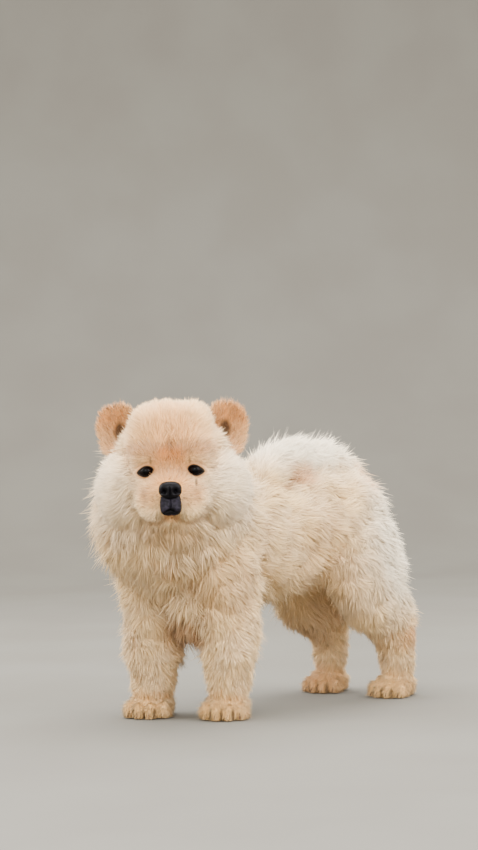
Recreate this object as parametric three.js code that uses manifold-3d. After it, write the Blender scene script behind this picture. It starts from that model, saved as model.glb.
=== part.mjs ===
// A chow chow puppy, about three months old, standing square and looking to its left.
// Millimetres, +Z up. The puppy faces -Y, its left side is +X, and it stands on Z = 0.
// Each body part is a smooth core, which reaches half way into the coat, with flat,
// tapered locks of hair rooted in it that reach the tips of the coat.
import * as THREE from "three";
import { mergeVertices } from "three/addons/utils/BufferGeometryUtils.js";
import Module from "manifold-3d";

const wasm = await Module();
wasm.setup();

// Driving dimensions.
const BACK_HEIGHT = 262; // skin of the back above the floor
const TRUNK_DEPTH = 116; // back to brisket, on the skin
const TRUNK_WIDTH = 104; // across the ribs, on the skin
const COAT = 30; // how far the body coat stands off the skin
const RUFF = 40; // the same round the neck
const TAIL_COAT = 22; // and round the tail
const CORE = 0.5; // how much of that depth a core fills
const GAP = 0.3; // left between parts that touch
const SOLE_LIFT = 3; // how much of a paw's rounding the floor flattens
const PAW_HEIGHT = 34;
const PAW_WIDTH = 52;
const PAW_LENGTH = 60;
const HEAD_TURN = THREE.MathUtils.degToRad(48); // towards the puppy's left
const SKULL = new THREE.Vector3(38, -157, 290); // middle of the skull
const EYE_RADIUS = 9;
const EYE_SPACING = 55;
const MUZZLE_REACH = 81; // from the skull's middle to the front of the muzzle
const EAR_SPACING = 125; // between the middles of the ears

const spineHeight = BACK_HEIGHT - TRUNK_DEPTH / 2;
const UP = new THREE.Vector3(0, 0, 1);
const FORWARD = new THREE.Vector3(0, -1, 0);
const at = (x, y, z) => new THREE.Vector3(x, y, z);

// A seeded source of numbers from 0 to 1, so that every build is the same.
let seed = 20251;
function chance() {
  seed = (seed * 1664525 + 1013904223) % 4294967296;
  return seed / 4294967296;
}
const vary = (share) => 1 + share * (2 * chance() - 1);

// Turns a closed three.js geometry into a manifold-3d solid.
function solidOf(geometry) {
  const bare = geometry.index ? geometry.toNonIndexed() : geometry.clone();
  bare.deleteAttribute("normal");
  bare.deleteAttribute("uv");
  const merged = mergeVertices(bare, 1e-3);
  return new wasm.Manifold(
    new wasm.Mesh({
      numProp: 3,
      vertProperties: new Float32Array(merged.attributes.position.array),
      triVerts: new Uint32Array(merged.index.array),
    }),
  );
}

// Turns a solid back into a three.js geometry.
function geometryOf(solid) {
  const made = solid.getMesh();
  const positions = new Float32Array(made.numVert * 3);
  for (let i = 0; i < made.numVert; i++)
    positions.set(
      made.vertProperties.subarray(i * made.numProp, i * made.numProp + 3),
      i * 3,
    );
  const geometry = new THREE.BufferGeometry();
  geometry.setAttribute("position", new THREE.BufferAttribute(positions, 3));
  geometry.setIndex(new THREE.BufferAttribute(new Uint32Array(made.triVerts), 1));
  geometry.computeVertexNormals();
  return geometry;
}

// The largest closed surface of a solid: it drops scraps and fills sealed hollows.
function largest(solid) {
  return solid
    .decompose()
    .reduce((most, one) => (one.volume() > most.volume() ? one : most));
}

const joined = (solids) => wasm.Manifold.union(solids);

// Moves every vertex of a geometry to where place() says, from where it is.
function reshape(geometry, place) {
  const position = geometry.attributes.position;
  const v = new THREE.Vector3();
  for (let i = 0; i < position.count; i++) {
    v.fromBufferAttribute(position, i);
    const moved = place(v, i);
    position.setXYZ(i, moved.x, moved.y, moved.z);
  }
  return geometry;
}

// A limb or trunk: sections of half-width "wide" and half-depth "tall" along a smooth path.
// "ref" is the direction in which "tall" is measured. The ends are rounded.
class Limb {
  constructor(ref, stations, { around = 16, along = 14, full = 0.55 } = {}) {
    this.ref = ref;
    this.path = new THREE.CatmullRomCurve3(stations.map((s) => at(s[0], s[1], s[2])));
    this.size = new THREE.CatmullRomCurve3(stations.map((s) => at(s[3], s[4], 0)));
    Object.assign(this, { around, along, full });
  }

  // The section's middle and axes at t, from 0 at the start of the path to 1 at its end.
  section(t) {
    const middle = this.path.getPoint(t);
    const ahead = this.path.getTangent(t);
    const side = this.ref.clone().cross(ahead).normalize();
    const tall = ahead.clone().cross(side);
    const size = this.size.getPoint(t);
    return { middle, ahead, side, tall, halfWidth: size.x, halfDepth: size.y };
  }

  // A point of the surface, grown outwards.
  surface(t, angle, grow = 0) {
    const s = this.section(t);
    const round = Math.sin(Math.acos(1 - 2 * t)) ** this.full;
    return s.middle
      .clone()
      .addScaledVector(s.side, (s.halfWidth + grow) * round * Math.cos(angle))
      .addScaledVector(s.tall, (s.halfDepth + grow) * round * Math.sin(angle))
      .addScaledVector(s.ahead, grow * (2 * t - 1) * (1 - round));
  }

  solid(grow = 0) {
    const sphere = new THREE.SphereGeometry(1, this.around, this.along);
    return solidOf(
      reshape(sphere, (v) => {
        const t = THREE.MathUtils.clamp((1 - v.y) / 2, 0, 1);
        return this.surface(t, Math.atan2(v.z, v.x), grow);
      }),
    );
  }
}

// Trunk, from the chest's front to the buttocks, bent towards the left at the shoulders.
const trunk = new Limb(
  UP,
  [
    [27, -158, spineHeight, 34, 36],
    [13, -138, spineHeight, 44, 50],
    [0, -104, spineHeight, TRUNK_WIDTH / 2, TRUNK_DEPTH / 2],
    [-9, -55, spineHeight, TRUNK_WIDTH / 2 + 1, TRUNK_DEPTH / 2],
    [-12, 0, spineHeight, TRUNK_WIDTH / 2, TRUNK_DEPTH / 2 - 2],
    [-9, 55, spineHeight + 2, TRUNK_WIDTH / 2 - 2, TRUNK_DEPTH / 2 - 4],
    [-4, 110, spineHeight + 3, TRUNK_WIDTH / 2 - 1, TRUNK_DEPTH / 2 - 3],
    [-2, 145, spineHeight, 44, 48],
    [-1, 168, spineHeight - 6, 30, 36],
  ],
  { around: 18, along: 14 },
);

const neck = new Limb(
  FORWARD,
  [
    [-12, -90, 160, 42, 44],
    [-10, -112, 196, 62, 59],
    [-2, -126, 228, 64, 60],
    [14, -140, 256, 55, 52],
    [31, -148, 280, 42, 42],
    [36, -154, 300, 28, 28],
  ],
  { around: 16, along: 10 },
);

const tail = new Limb(
  at(1, 0, 0),
  [
    [-2, 150, 240, 9, 9],
    [-3, 136, 266, 10, 10],
    [-2, 100, 283, 10, 10],
    [4, 54, 287, 10, 10],
    [15, 12, 283, 9, 9],
    [28, -20, 266, 7, 7],
  ],
  { around: 10, along: 10 },
);

// Legs, named by side, with the turn of each paw. Lower down the plush coat is part of
// the core. "feather" is the longer hair on the back of a foreleg.
const FEATHER = 14;
const BREECHES = 20;
const forePaws = { left: at(42, -94, 0), right: at(-41, -137, 0) };
const hindPaws = { left: at(51, 158, 0), right: at(-50, 143, 0) };
const foreTurn = THREE.MathUtils.degToRad(38);
const hindTurn = THREE.MathUtils.degToRad(14);

function foreleg(side, sign) {
  const p = forePaws[side];
  const f = FEATHER * CORE;
  const b = BREECHES * CORE;
  const lead = side === "left" ? -98 : -118;
  return new Limb(
    FORWARD,
    [
      [sign * 40, lead, 216, 22 + b, 30 + b],
      [p.x + sign * 1, (p.y + lead) / 2, 176, 24 + b, 32 + b],
      [p.x, p.y + 5 + f / 2, 138, 24 + b / 2, 28 + f],
      [p.x, p.y + 4 + f / 2, 100, 25 + f / 4, 29 + f / 2],
      [p.x, p.y + 4 + f / 4, 66, 26, 27 + f / 8],
      [p.x, p.y + 4, 40, 25, 26],
      [p.x, p.y + 2, 12, 22, 23],
    ],
    { around: 12, along: 13 },
  );
}

function hindleg(side, sign) {
  const p = hindPaws[side];
  const b = BREECHES * CORE;
  return new Limb(
    FORWARD,
    [
      [sign * 30 - 3, p.y - 40, 222, 20 + b, 36 + b],
      [sign * 40 - 2, p.y - 36, 184, 26 + b, 46 + b],
      [sign * 46 - 1, p.y - 36, 148, 25 + b, 42 + b],
      [p.x, p.y - 22, 116, 24 + b / 2, 35 + b / 2],
      [p.x, p.y + 2, 84, 23, 29],
      [p.x, p.y + 11, 58, 21, 22],
      [p.x, p.y + 7, 12, 22, 22],
    ],
    { around: 12, along: 13 },
  );
}

const legs = {
  foreleg_left: foreleg("left", 1),
  foreleg_right: foreleg("right", -1),
  hindleg_left: hindleg("left", 1),
  hindleg_right: hindleg("right", -1),
};

// An ellipsoid with half-sizes h, turned by yaw about +Z.
function ellipsoid(middle, h, yaw = 0, around = 12, along = 8) {
  const sphere = new THREE.SphereGeometry(1, around, along);
  sphere.scale(h.x, h.y, h.z);
  sphere.rotateZ(yaw);
  sphere.translate(middle.x, middle.y, middle.z);
  return solidOf(sphere);
}

// A paw: a domed pad with four toes and their claws, flat on the floor.
function paw(middle, yaw, scale = 1, grow = 0) {
  const ahead = at(Math.sin(yaw), -Math.cos(yaw), 0);
  const across = at(Math.cos(yaw), Math.sin(yaw), 0);
  const spot = (right, front, z) =>
    middle
      .clone()
      .addScaledVector(across, right * scale)
      .addScaledVector(ahead, front * scale)
      .setZ(z * scale - SOLE_LIFT);
  const more = at(grow, grow, grow);
  const half = at(PAW_WIDTH * 0.46, PAW_LENGTH * 0.43, PAW_HEIGHT / 2 + SOLE_LIFT);
  half.multiplyScalar(scale).add(more);
  const pieces = [ellipsoid(spot(0, -5, 16), half, yaw, 10, 7)];
  const toes = [
    [-0.72, 0.36],
    [-0.26, 0.62],
    [0.26, 0.62],
    [0.72, 0.36],
  ];
  for (const [right, front] of toes) {
    const x = (right * PAW_WIDTH) / 2;
    const y = (front * PAW_LENGTH) / 2;
    const size = at(7.6, 11.5, 12.5).multiplyScalar(scale).add(more);
    const splay = yaw + right * 0.32;
    pieces.push(ellipsoid(spot(x, y, 11.5), size, splay, 6, 6));
    if (grow) continue;
    const claw = new THREE.ConeGeometry(2.2 * scale, 12 * scale, 4, 1);
    claw.rotateX(Math.PI / 2 + 0.62);
    claw.rotateZ(Math.PI + splay);
    const tip = spot(x, y + 11.5, 8);
    claw.translate(tip.x, tip.y, tip.z);
    pieces.push(solidOf(claw));
  }
  return pieces;
}

const pawsGrown = (grow) => [
  ...paw(forePaws.left, foreTurn, 1, grow),
  ...paw(forePaws.right, foreTurn - 0.06, 1, grow),
  ...paw(hindPaws.left, hindTurn, 0.94, grow),
  ...paw(hindPaws.right, hindTurn + 0.1, 0.94, grow),
];

// The head has its own axes: left, ahead and up from the middle of the skull.
const headLeft = at(Math.cos(HEAD_TURN), Math.sin(HEAD_TURN), 0);
const headAhead = at(Math.sin(HEAD_TURN), -Math.cos(HEAD_TURN), 0);
const turnedHead = new THREE.Quaternion().setFromAxisAngle(UP, HEAD_TURN);
function onHead(left, ahead, up) {
  return SKULL.clone()
    .addScaledVector(headLeft, left)
    .addScaledVector(headAhead, ahead)
    .addScaledVector(UP, up);
}

// The head's masses in its own axes: middle, half-sizes and how square each one is.
// Their smooth union is its surface.
const headMasses = [
  { at: at(0, -4, 9), half: at(70, 60, 60), square: 2.5 }, // skull with its plush coat
  { at: at(42, -2, -30), half: at(42, 48, 42), square: 2.2 }, // cheeks
  { at: at(-42, -2, -30), half: at(42, 48, 42), square: 2.2 },
  { at: at(0, 46, -31), half: at(27, MUZZLE_REACH - 46, 21), square: 2.2 }, // muzzle
  { at: at(20, 46, -47), half: at(21, 25, 22), square: 2 }, // hanging upper lips
  { at: at(-20, 46, -47), half: at(21, 25, 22), square: 2 },
  { at: at(0, 50, -52), half: at(15, 19, 14), square: 2 }, // chin
  { at: at(22, 46, 10), half: at(20, 17, 12), square: 2 }, // brows
  { at: at(-22, 46, 10), half: at(20, 17, 12), square: 2 },
];
const BLEND = 5; // how softly the masses run into one another
const headMiddle = at(0, 26, -22);

// About how far a point, in the head's axes, is outside the smooth union of its masses.
function headField(p) {
  let sum = 0;
  for (const m of headMasses) {
    const q = p.clone().sub(m.at).divide(m.half);
    const k =
      (Math.abs(q.x) ** m.square + Math.abs(q.y) ** m.square + Math.abs(q.z) ** m.square) **
      (1 / m.square);
    const slope = q.clone().divide(m.half).length() / Math.max(q.length(), 1e-6);
    const away = (k - 1) / Math.max(slope, 1e-3);
    sum += Math.exp(-away / BLEND);
  }
  return -BLEND * Math.log(sum);
}

// How far the head reaches from its middle along a direction, found by halving.
function headReach(direction) {
  let near = 0;
  let far = 140;
  for (let i = 0; i < 22; i++) {
    const mid = (near + far) / 2;
    if (headField(headMiddle.clone().addScaledVector(direction, mid)) < 0) near = mid;
    else far = mid;
  }
  return near;
}

// The same, softened by the reach a little way to each side.
function softReach(direction) {
  const side = direction.clone().cross(UP).normalize().multiplyScalar(0.07);
  const rise = side.clone().cross(direction).normalize().multiplyScalar(0.07);
  let sum = 2 * headReach(direction);
  for (const step of [side, side.clone().negate(), rise, rise.clone().negate()])
    sum += headReach(direction.clone().add(step).normalize());
  return sum / 6;
}

// A shallow furrow between the brows.
const furrow = (p) =>
  p.y > 30 && p.z > 0 && p.z < 40 ? 2.5 * Math.exp(-((p.x / 4) ** 2)) : 0;

// Turns the diagonals of the sphere's squares on the left, so that both halves are alike.
function mirrored(sphere, around, along) {
  const index = [];
  for (let row = 0; row < along; row++)
    for (let i = 0; i < around; i++) {
      const b = row * (around + 1) + i;
      const [a, c, d] = [b + 1, b + around + 1, b + around + 2];
      const left = Math.cos((Math.PI * 2 * (i + 0.5)) / around) > 0;
      if (row === 0) index.push(b, c, d);
      else if (row === along - 1) index.push(a, b, d);
      else if (left) index.push(a, b, c, a, c, d);
      else index.push(a, b, d, b, c, d);
    }
  sphere.setIndex(index);
  return sphere;
}

function headSolid(grow = 0) {
  const sphere = mirrored(new THREE.SphereGeometry(1, 34, 25), 34, 25);
  return solidOf(
    reshape(sphere, (v) => {
      // Rings are closer together towards the face, which looks along the sphere's pole.
      const polar = Math.acos(THREE.MathUtils.clamp(v.y, -1, 1)) / Math.PI;
      const ring = Math.PI * (0.8 * polar + 0.2 * polar * polar);
      const turn = Math.atan2(v.z, v.x);
      const direction = at(
        Math.sin(ring) * Math.cos(turn),
        Math.cos(ring),
        -Math.sin(ring) * Math.sin(turn),
      );
      const reach = softReach(direction) + grow;
      const p = headMiddle.clone().addScaledVector(direction, reach);
      p.addScaledVector(direction, -furrow(p));
      return onHead(p.x, p.y, p.z);
    }),
  );
}

// An ear: a rounded flap, cupped towards the front, set wide on the skull.
function ear(sign, grow = 0) {
  const sphere = new THREE.SphereGeometry(1, 14, 8);
  const lean = sign * 0.22;
  return solidOf(
    reshape(sphere, (v) => {
      // v.x runs across the flap, v.y up it, v.z through its thickness.
      const flat = 1 - Math.min(1, v.x * v.x + v.y * v.y);
      const across = (25 + grow) * Math.sign(v.x) * Math.abs(v.x) ** 0.8;
      const high = (33 + grow) * Math.sign(v.y) * Math.abs(v.y) ** 0.8;
      const cup = -9 * flat;
      const thick = ((v.z > 0 ? 4 : 5) + grow) * Math.abs(v.z) ** 0.7 * Math.sign(v.z);
      const x = across * Math.cos(lean) + high * Math.sin(lean);
      const z = high * Math.cos(lean) - across * Math.sin(lean);
      const back = (0.35 * Math.abs(x) * Math.sign(x * sign)) / 25;
      return onHead((sign * EAR_SPACING) / 2 + x, -14 + thick + cup - back * 8, 32 + z);
    }),
  );
}

// A lid: a short bent tube over the upper or lower edge of an eye.
function lid(sign, upper) {
  const half = Math.PI * 0.62;
  const bend = new THREE.CatmullRomCurve3(
    [-1, -0.5, 0, 0.5, 1].map((s) => {
      const a = s * half * 0.5;
      const rise = (upper ? 1 : -1) * Math.cos(a) * 7.4;
      return onHead(
        (sign * EYE_SPACING) / 2 + Math.sin(a) * 11,
        57 - Math.abs(s) * 4.5,
        -9 + rise * (1 - 0.55 * s * s) - s * sign * 1.4,
      );
    }),
  );
  const section = new THREE.Shape();
  section.absarc(0, 0, upper ? 2.6 : 2.2, 0, Math.PI * 2);
  return solidOf(
    new THREE.ExtrudeGeometry(section, {
      steps: 5,
      curveSegments: 3,
      bevelEnabled: false,
      extrudePath: bend,
    }),
  );
}

// The line of the mouth, cut as a groove that runs from under the nose round each side.
function mouthLine(sign) {
  const points = [-2, 8, 18, 27, 33].map((across, i) => {
    const down = -49 - 0.34 * across;
    const toward = at(sign * across, 62 - i * 5, down).sub(headMiddle).normalize();
    const p = headMiddle.clone().addScaledVector(toward, headReach(toward) + 0.4);
    return onHead(p.x, p.y, p.z);
  });
  const section = new THREE.Shape();
  section.absarc(0, 0, 1.8, 0, Math.PI * 2);
  return solidOf(
    new THREE.ExtrudeGeometry(section, {
      steps: 6,
      curveSegments: 2,
      bevelEnabled: false,
      extrudePath: new THREE.CatmullRomCurve3(points),
    }),
  );
}

const eyeAt = (sign) => onHead((sign * EYE_SPACING) / 2, 50, -9);
function eyeball(sign, grow = 0) {
  const r = EYE_RADIUS + grow;
  return ellipsoid(eyeAt(sign), at(r, r, r), HEAD_TURN, 12, 8);
}

// The nose leather with its two nostrils, and the dark lips under it.
const noseAt = onHead(0, MUZZLE_REACH - 3, -27);
const noseBody = (grow) =>
  ellipsoid(noseAt, at(12 + grow, 8.5 + grow, 9 + grow), HEAD_TURN, 12, 8);
function nose() {
  let made = noseBody(0);
  for (const sign of [1, -1]) {
    const spot = onHead(sign * 6, MUZZLE_REACH + 5, -29);
    made = made.subtract(ellipsoid(spot, at(2.6, 4.2, 2.4), HEAD_TURN, 7, 5));
  }
  return made;
}
const lipsAt = onHead(0, MUZZLE_REACH - 8, -43);
const lipsBody = (grow) =>
  ellipsoid(lipsAt, at(11.5 + grow, 7.5 + grow, 10.5 + grow), HEAD_TURN, 11, 7);
function lips() {
  let made = lipsBody(0).subtract(noseBody(GAP));
  for (const sign of [1, -1]) {
    const slit = new THREE.BoxGeometry(16, 8, 1.6);
    slit.rotateY(sign * 0.42);
    slit.applyQuaternion(turnedHead);
    const spot = onHead(sign * 6.5, MUZZLE_REACH + 1, -49.4);
    slit.translate(spot.x, spot.y, spot.z);
    made = made.subtract(solidOf(slit));
  }
  return largest(made);
}

// A region in which one part of the body lies: a block, grown on all sides for a cut.
class Block {
  constructor(middle, size, turn = new THREE.Quaternion()) {
    Object.assign(this, { middle, size, turn });
  }

  solid(grow = 0) {
    const g = 2 * grow;
    const box = new THREE.BoxGeometry(this.size.x + g, this.size.y + g, this.size.z + g);
    box.applyQuaternion(this.turn);
    box.translate(this.middle.x, this.middle.y, this.middle.z);
    return solidOf(box);
  }

  holds(p) {
    const q = p.clone().sub(this.middle).applyQuaternion(this.turn.clone().invert());
    return (
      Math.abs(q.x) < this.size.x / 2 &&
      Math.abs(q.y) < this.size.y / 2 &&
      Math.abs(q.z) < this.size.z / 2
    );
  }
}

// An ear is parted along its own surface.
class EarRegion {
  constructor(sign) {
    this.sign = sign;
  }

  solid(grow = 0) {
    return ear(this.sign, 0.5 + grow);
  }

  holds() {
    return false;
  }
}

// So is the tail.
const tailRegion = {
  solid: (grow = 0) => tail.solid(TAIL_COAT * CORE + 0.5 + grow),
  holds: (p) => {
    for (let t = 0; t <= 1; t += 0.04) {
      const s = tail.section(t);
      if (s.middle.distanceTo(p) < s.halfWidth + TAIL_COAT * CORE + 1.5) return true;
    }
    return false;
  },
};

const neckAxis = SKULL.clone().sub(at(4, -108, 224)).normalize();
const alongNeck = new THREE.Quaternion().setFromUnitVectors(UP, neckAxis);
const shoulderAxis = at(0.3, -0.72, 0.62).normalize();
const alongShoulder = new THREE.Quaternion().setFromUnitVectors(UP, shoulderAxis);
const beyond = (point, axis, depth) => point.clone().addScaledVector(axis, depth / 2);
const tilt = (angle) => new THREE.Quaternion().setFromAxisAngle(FORWARD, angle);

// Where the body is parted. Each part takes what lies in its region from what is left.
const regions = {
  ear_left: new EarRegion(1),
  ear_right: new EarRegion(-1),
  head: new Block(beyond(onHead(-12, -34, -28), neckAxis, 300), at(400, 400, 300), alongNeck),
  forepaw_left: new Block(at(44, -96, 6), at(86, 96, 60)),
  forepaw_right: new Block(at(-41, -138, 6), at(86, 96, 60)),
  hindpaw_left: new Block(at(49, 160, 6), at(86, 96, 60)),
  hindpaw_right: new Block(at(-50, 147, 6), at(86, 96, 60)),
  tail: tailRegion,
  foreleg_left: new Block(at(46, -92, 70), at(86, 110, 144)),
  foreleg_right: new Block(at(-50, -132, 70), at(96, 110, 144)),
  hindleg_left: new Block(at(95, 150, 102), at(150, 170, 190), tilt(-0.42)),
  hindleg_right: new Block(at(-97, 140, 102), at(150, 170, 190), tilt(0.42)),
  neck: new Block(
    beyond(at(0, -122, 200), shoulderAxis, 300),
    at(420, 420, 300),
    alongShoulder,
  ),
};
const nameAt = (p) =>
  Object.keys(regions).find((name) => regions[name].holds(p)) ?? "torso";

// The whole body without its locks, grown by a distance on all sides.
const floor = new Block(at(0, 0, -100), at(1200, 1200, 200)).solid();
function body(grow) {
  const pieces = [
    trunk.solid(COAT * CORE + grow),
    neck.solid(RUFF * CORE + grow),
    tail.solid(TAIL_COAT * CORE + grow),
    ...Object.values(legs).map((limb) => limb.solid(grow)),
    ...pawsGrown(grow),
    headSolid(grow),
    ear(1, grow),
    ear(-1, grow),
  ];
  if (!grow) pieces.push(...[1, -1].flatMap((s) => [lid(s, true), lid(s, false)]));
  return largest(joined(pieces).subtract(floor));
}

// Parts the body: what is in each region, and the torso, which is what remains.
function parted(whole, inside, between) {
  const parts = {};
  let rest = whole;
  for (const [name, region] of Object.entries(regions)) {
    parts[name] = rest.intersect(region.solid(inside));
    rest = rest.subtract(region.solid(between));
  }
  parts.torso = rest;
  return parts;
}

const wholeBody = body(0);
const parts = parted(wholeBody, 0, GAP);
for (const name of Object.keys(parts)) parts[name] = largest(parts[name]);

// The coat's locks are rooted where lines towards the middle of a limb meet the body.
const bodySurface = new THREE.Mesh(geometryOf(wholeBody));
const line = new THREE.Raycaster();
function meets(from, toward) {
  line.set(from, toward);
  const found = line.intersectObject(bodySurface)[0];
  return found && { point: found.point, out: found.normal.clone().normalize() };
}

const smooth = THREE.MathUtils.smoothstep;
const mix = (a, b, share) => a.clone().lerp(b, share);

// The way the hair lies: down the chest and ruff, back along the trunk, down and back on
// the legs, and along the tail.
function lieAt(p, name) {
  if (name === "tail") {
    let near = 0;
    for (let t = 0; t <= 1; t += 0.05)
      if (tail.path.getPoint(t).distanceTo(p) < tail.path.getPoint(near).distanceTo(p))
        near = t;
    return tail.path.getTangent(Math.min(near, 0.97)).add(at(0, 0, -0.15));
  }
  const chest = at(0, 0.08, -1);
  const trunkLie = at(0, 1, -0.5);
  const leg = at(0, 0.35, -1);
  let lie = mix(chest, trunkLie, smooth(p.y, -118, -50));
  lie = mix(lie, leg, (1 - smooth(p.z, 150, 205)) * 0.75);
  lie = mix(lie, at(0, 0.1, -1), smooth(p.y, 130, 175));
  if (name === "neck" || name === "head") lie = mix(lie, at(0, 0.35, -1), 0.7);
  return lie;
}

// The places that a lock passes as it follows the surface from its root to its tip.
const STEPS = 3;
function follow(start, name, length, sway) {
  const places = [start];
  let last = at(0, 0, -1);
  for (let i = 0; i < STEPS; i++) {
    const here = places[i];
    const lie = lieAt(here.point, name);
    lie.addScaledVector(here.out, -lie.dot(here.out));
    if (lie.length() > 0.15) last = lie.normalize().applyAxisAngle(here.out, sway);
    here.lie = last.clone();
    const next = here.point.clone().addScaledVector(last, length / STEPS);
    const found = meets(
      next.clone().addScaledVector(here.out, 30),
      here.out.clone().negate(),
    );
    if (found && found.point.distanceTo(next) < 9)
      places.push({ point: found.point, out: mix(here.out, found.out, 0.6).normalize() });
    else places.push({ point: next, out: here.out.clone() });
  }
  places[STEPS].lie = last.clone();
  return places;
}

// A lock: a long, flat form with a ridge outside, sunk at its root, widest before its
// middle, and tapering to a tip at the coat's full depth.
const FLARE = [0.6, 1, 0.78, 0];
const LIFT = [0, 0.42, 0.82, 1];
const SUNK = 9;
function lock(places, size, grow = 0) {
  const cone = new THREE.ConeGeometry(1, 1, 3, STEPS);
  return solidOf(
    reshape(cone, (v) => {
      const i = Math.round((v.y + 0.5) * STEPS);
      const here = places[i];
      const across = here.lie.clone().cross(here.out).normalize();
      const height = i ? size.rise * LIFT[i] : -SUNK;
      const p = here.point.clone().addScaledVector(here.out, height);
      if (grow && i === STEPS) p.addScaledVector(here.lie, 9 * grow);
      if (grow && i === 0) p.addScaledVector(here.lie, -5 * grow);
      const turn = Math.atan2(v.x, v.z);
      if (Math.hypot(v.x, v.z) < 1e-6) return p;
      const flare = FLARE[i];
      const half = (flare * size.width) / 2 + (i < STEPS ? 4 * grow : 0);
      const thick = flare * size.width * 0.13 + (i < STEPS ? 5.5 * grow : 0);
      const side = Math.sin(turn) / Math.sin((2 * Math.PI) / 3);
      return p
        .addScaledVector(across, half * side)
        .addScaledVector(here.out, Math.cos(turn) > 0 ? thick * 0.7 : -thick * 0.3);
    }),
  );
}

// Rows of locks round a limb, between two places on its path. A lock is left out where
// its root is not on the named parts, or would straddle two of them, or is crowded by one
// that is there already, so the locks settle into staggered rows like shingles.
const locks = [];
function coatRows(limb, names, from, to, size, reach = 170, where = () => true) {
  const along = limb.path.getLength() * (to - from);
  const rows = Math.ceil(along / (size.length * 0.09));
  for (let row = 0; row <= rows; row++) {
    const t = from + ((to - from) * row) / rows;
    const s = limb.section(t);
    const turns = 56;
    for (let i = 0; i < turns; i++) {
      const angle = (Math.PI * 2 * (i + 0.5 * (row % 2))) / turns;
      const way = s.side
        .clone()
        .multiplyScalar(Math.cos(angle))
        .addScaledVector(s.tall, Math.sin(angle));
      const root = meets(s.middle.clone().addScaledVector(way, reach), way.negate());
      if (!root) continue;
      const name = nameAt(root.point);
      if (!names.includes(name) || !where(root.point)) continue;
      const lie = lieAt(root.point, name);
      lie.addScaledVector(root.out, -lie.dot(root.out)).normalize();
      const across = lie.clone().cross(root.out).normalize();
      const crowded = locks.some((one) => {
        const gap = one.root.clone().sub(root.point);
        const aside = gap.dot(across) / (0.49 * (size.width + one.width));
        const down = gap.dot(lie) / (0.3 * (size.length + one.length));
        return Math.hypot(aside, down) < 1 && Math.abs(gap.dot(root.out)) < 30;
      });
      if (crowded) continue;
      const split = [-0.3, 0.3].some((share) => {
        const p = root.point.clone().addScaledVector(across, share * size.width);
        return nameAt(p.addScaledVector(root.out, -5)) !== name;
      });
      if (split) continue;
      const own = { ...size, width: size.width * vary(0.07) };
      const sway = 0.16 * (2 * chance() - 1);
      const places = follow(root, name, size.length * vary(0.12), sway);
      locks.push({ ...size, name, places, size: own, root: root.point });
    }
  }
}

{
  const ruff = { length: 74, width: 54, rise: RUFF * (1 - CORE) + 2 };
  const flank = { length: 70, width: 55, rise: COAT * (1 - CORE) + 1 };
  const plume = { length: 50, width: 36, rise: TAIL_COAT * (1 - CORE) + 2 };
  const breech = { length: 56, width: 44, rise: BREECHES * (1 - CORE) + 1 };
  const fringe = { length: 44, width: 36, rise: FEATHER * (1 - CORE) + 1 };
  const cheek = { length: 46, width: 40, rise: 6 };
  const jowl = (p) => {
    const q = p.clone().sub(SKULL);
    const ahead = q.dot(headAhead);
    return ahead < 22 && q.z < 10 && !(ahead > -12 && q.z > -14);
  };
  coatRows(tail, ["tail"], 0.05, 0.97, plume, 60);
  coatRows(neck, ["head"], 0.4, 1, cheek, 170, jowl);
  for (const side of ["left", "right"]) {
    coatRows(legs["hindleg_" + side], ["hindleg_" + side], 0.1, 0.66, breech, 90);
    const foreleg = legs["foreleg_" + side];
    coatRows(foreleg, ["torso", "foreleg_" + side], 0.14, 0.4, breech, 90);
    coatRows(foreleg, ["foreleg_" + side], 0.4, 0.64, fringe, 70);
  }
  coatRows(neck, ["neck", "torso"], 0.04, 0.95, ruff, 170, (p) => p.y < -62);
  coatRows(trunk, ["torso", "neck"], 0.03, 0.99, flank);
}

// Each part's locks are cut clear of the other parts' cores, and of the locks of the
// parts named before it here, which lie over them.
const ORDER = ["head", "neck", "tail", "torso"];
for (const name of Object.keys(parts)) if (!ORDER.includes(name)) ORDER.push(name);
const coresGrown = parted(body(GAP), GAP, 0);
const over = [];
// A small box round the place where two locks still meet.
function notch(corner) {
  const { min, max } = corner.boundingBox();
  const low = at(...min).addScalar(-GAP);
  const high = at(...max).addScalar(GAP);
  const size = high.clone().sub(low);
  const middle = low.add(high).multiplyScalar(0.5);
  return solidOf(new THREE.BoxGeometry(size.x, size.y, size.z).translate(...middle.toArray()));
}
for (const name of ORDER) {
  const own = locks.filter((one) => one.name === name);
  if (!own.length) continue;
  let hair = joined(own.map((one) => lock(one.places, one.size)));
  for (const other of Object.keys(coresGrown))
    if (other !== name) hair = hair.subtract(coresGrown[other]);
  for (const higher of over) hair = hair.subtract(higher);
  hair = hair.subtract(floor);
  parts[name] = largest(parts[name].add(hair));
  for (const higher of ORDER.slice(0, ORDER.indexOf(name)))
    for (const corner of parts[name].intersect(parts[higher]).decompose())
      if (corner.volume() > 1e-4) parts[name] = largest(parts[name].subtract(notch(corner)));
  over.push(joined(own.map((one) => lock(one.places, one.size, GAP))));
}

const coatColour = new THREE.MeshStandardMaterial({ color: 0xead9bf, roughness: 0.95 });
const earColour = new THREE.MeshStandardMaterial({ color: 0xd9ab78, roughness: 0.95 });
const pawColour = new THREE.MeshStandardMaterial({ color: 0xe3c49a, roughness: 0.95 });
const leather = new THREE.MeshStandardMaterial({ color: 0x17151b, roughness: 0.4 });
const lipColour = new THREE.MeshStandardMaterial({ color: 0x3a3442, roughness: 0.5 });
const eyeColour = new THREE.MeshStandardMaterial({ color: 0x120b08, roughness: 0.08 });

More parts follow.
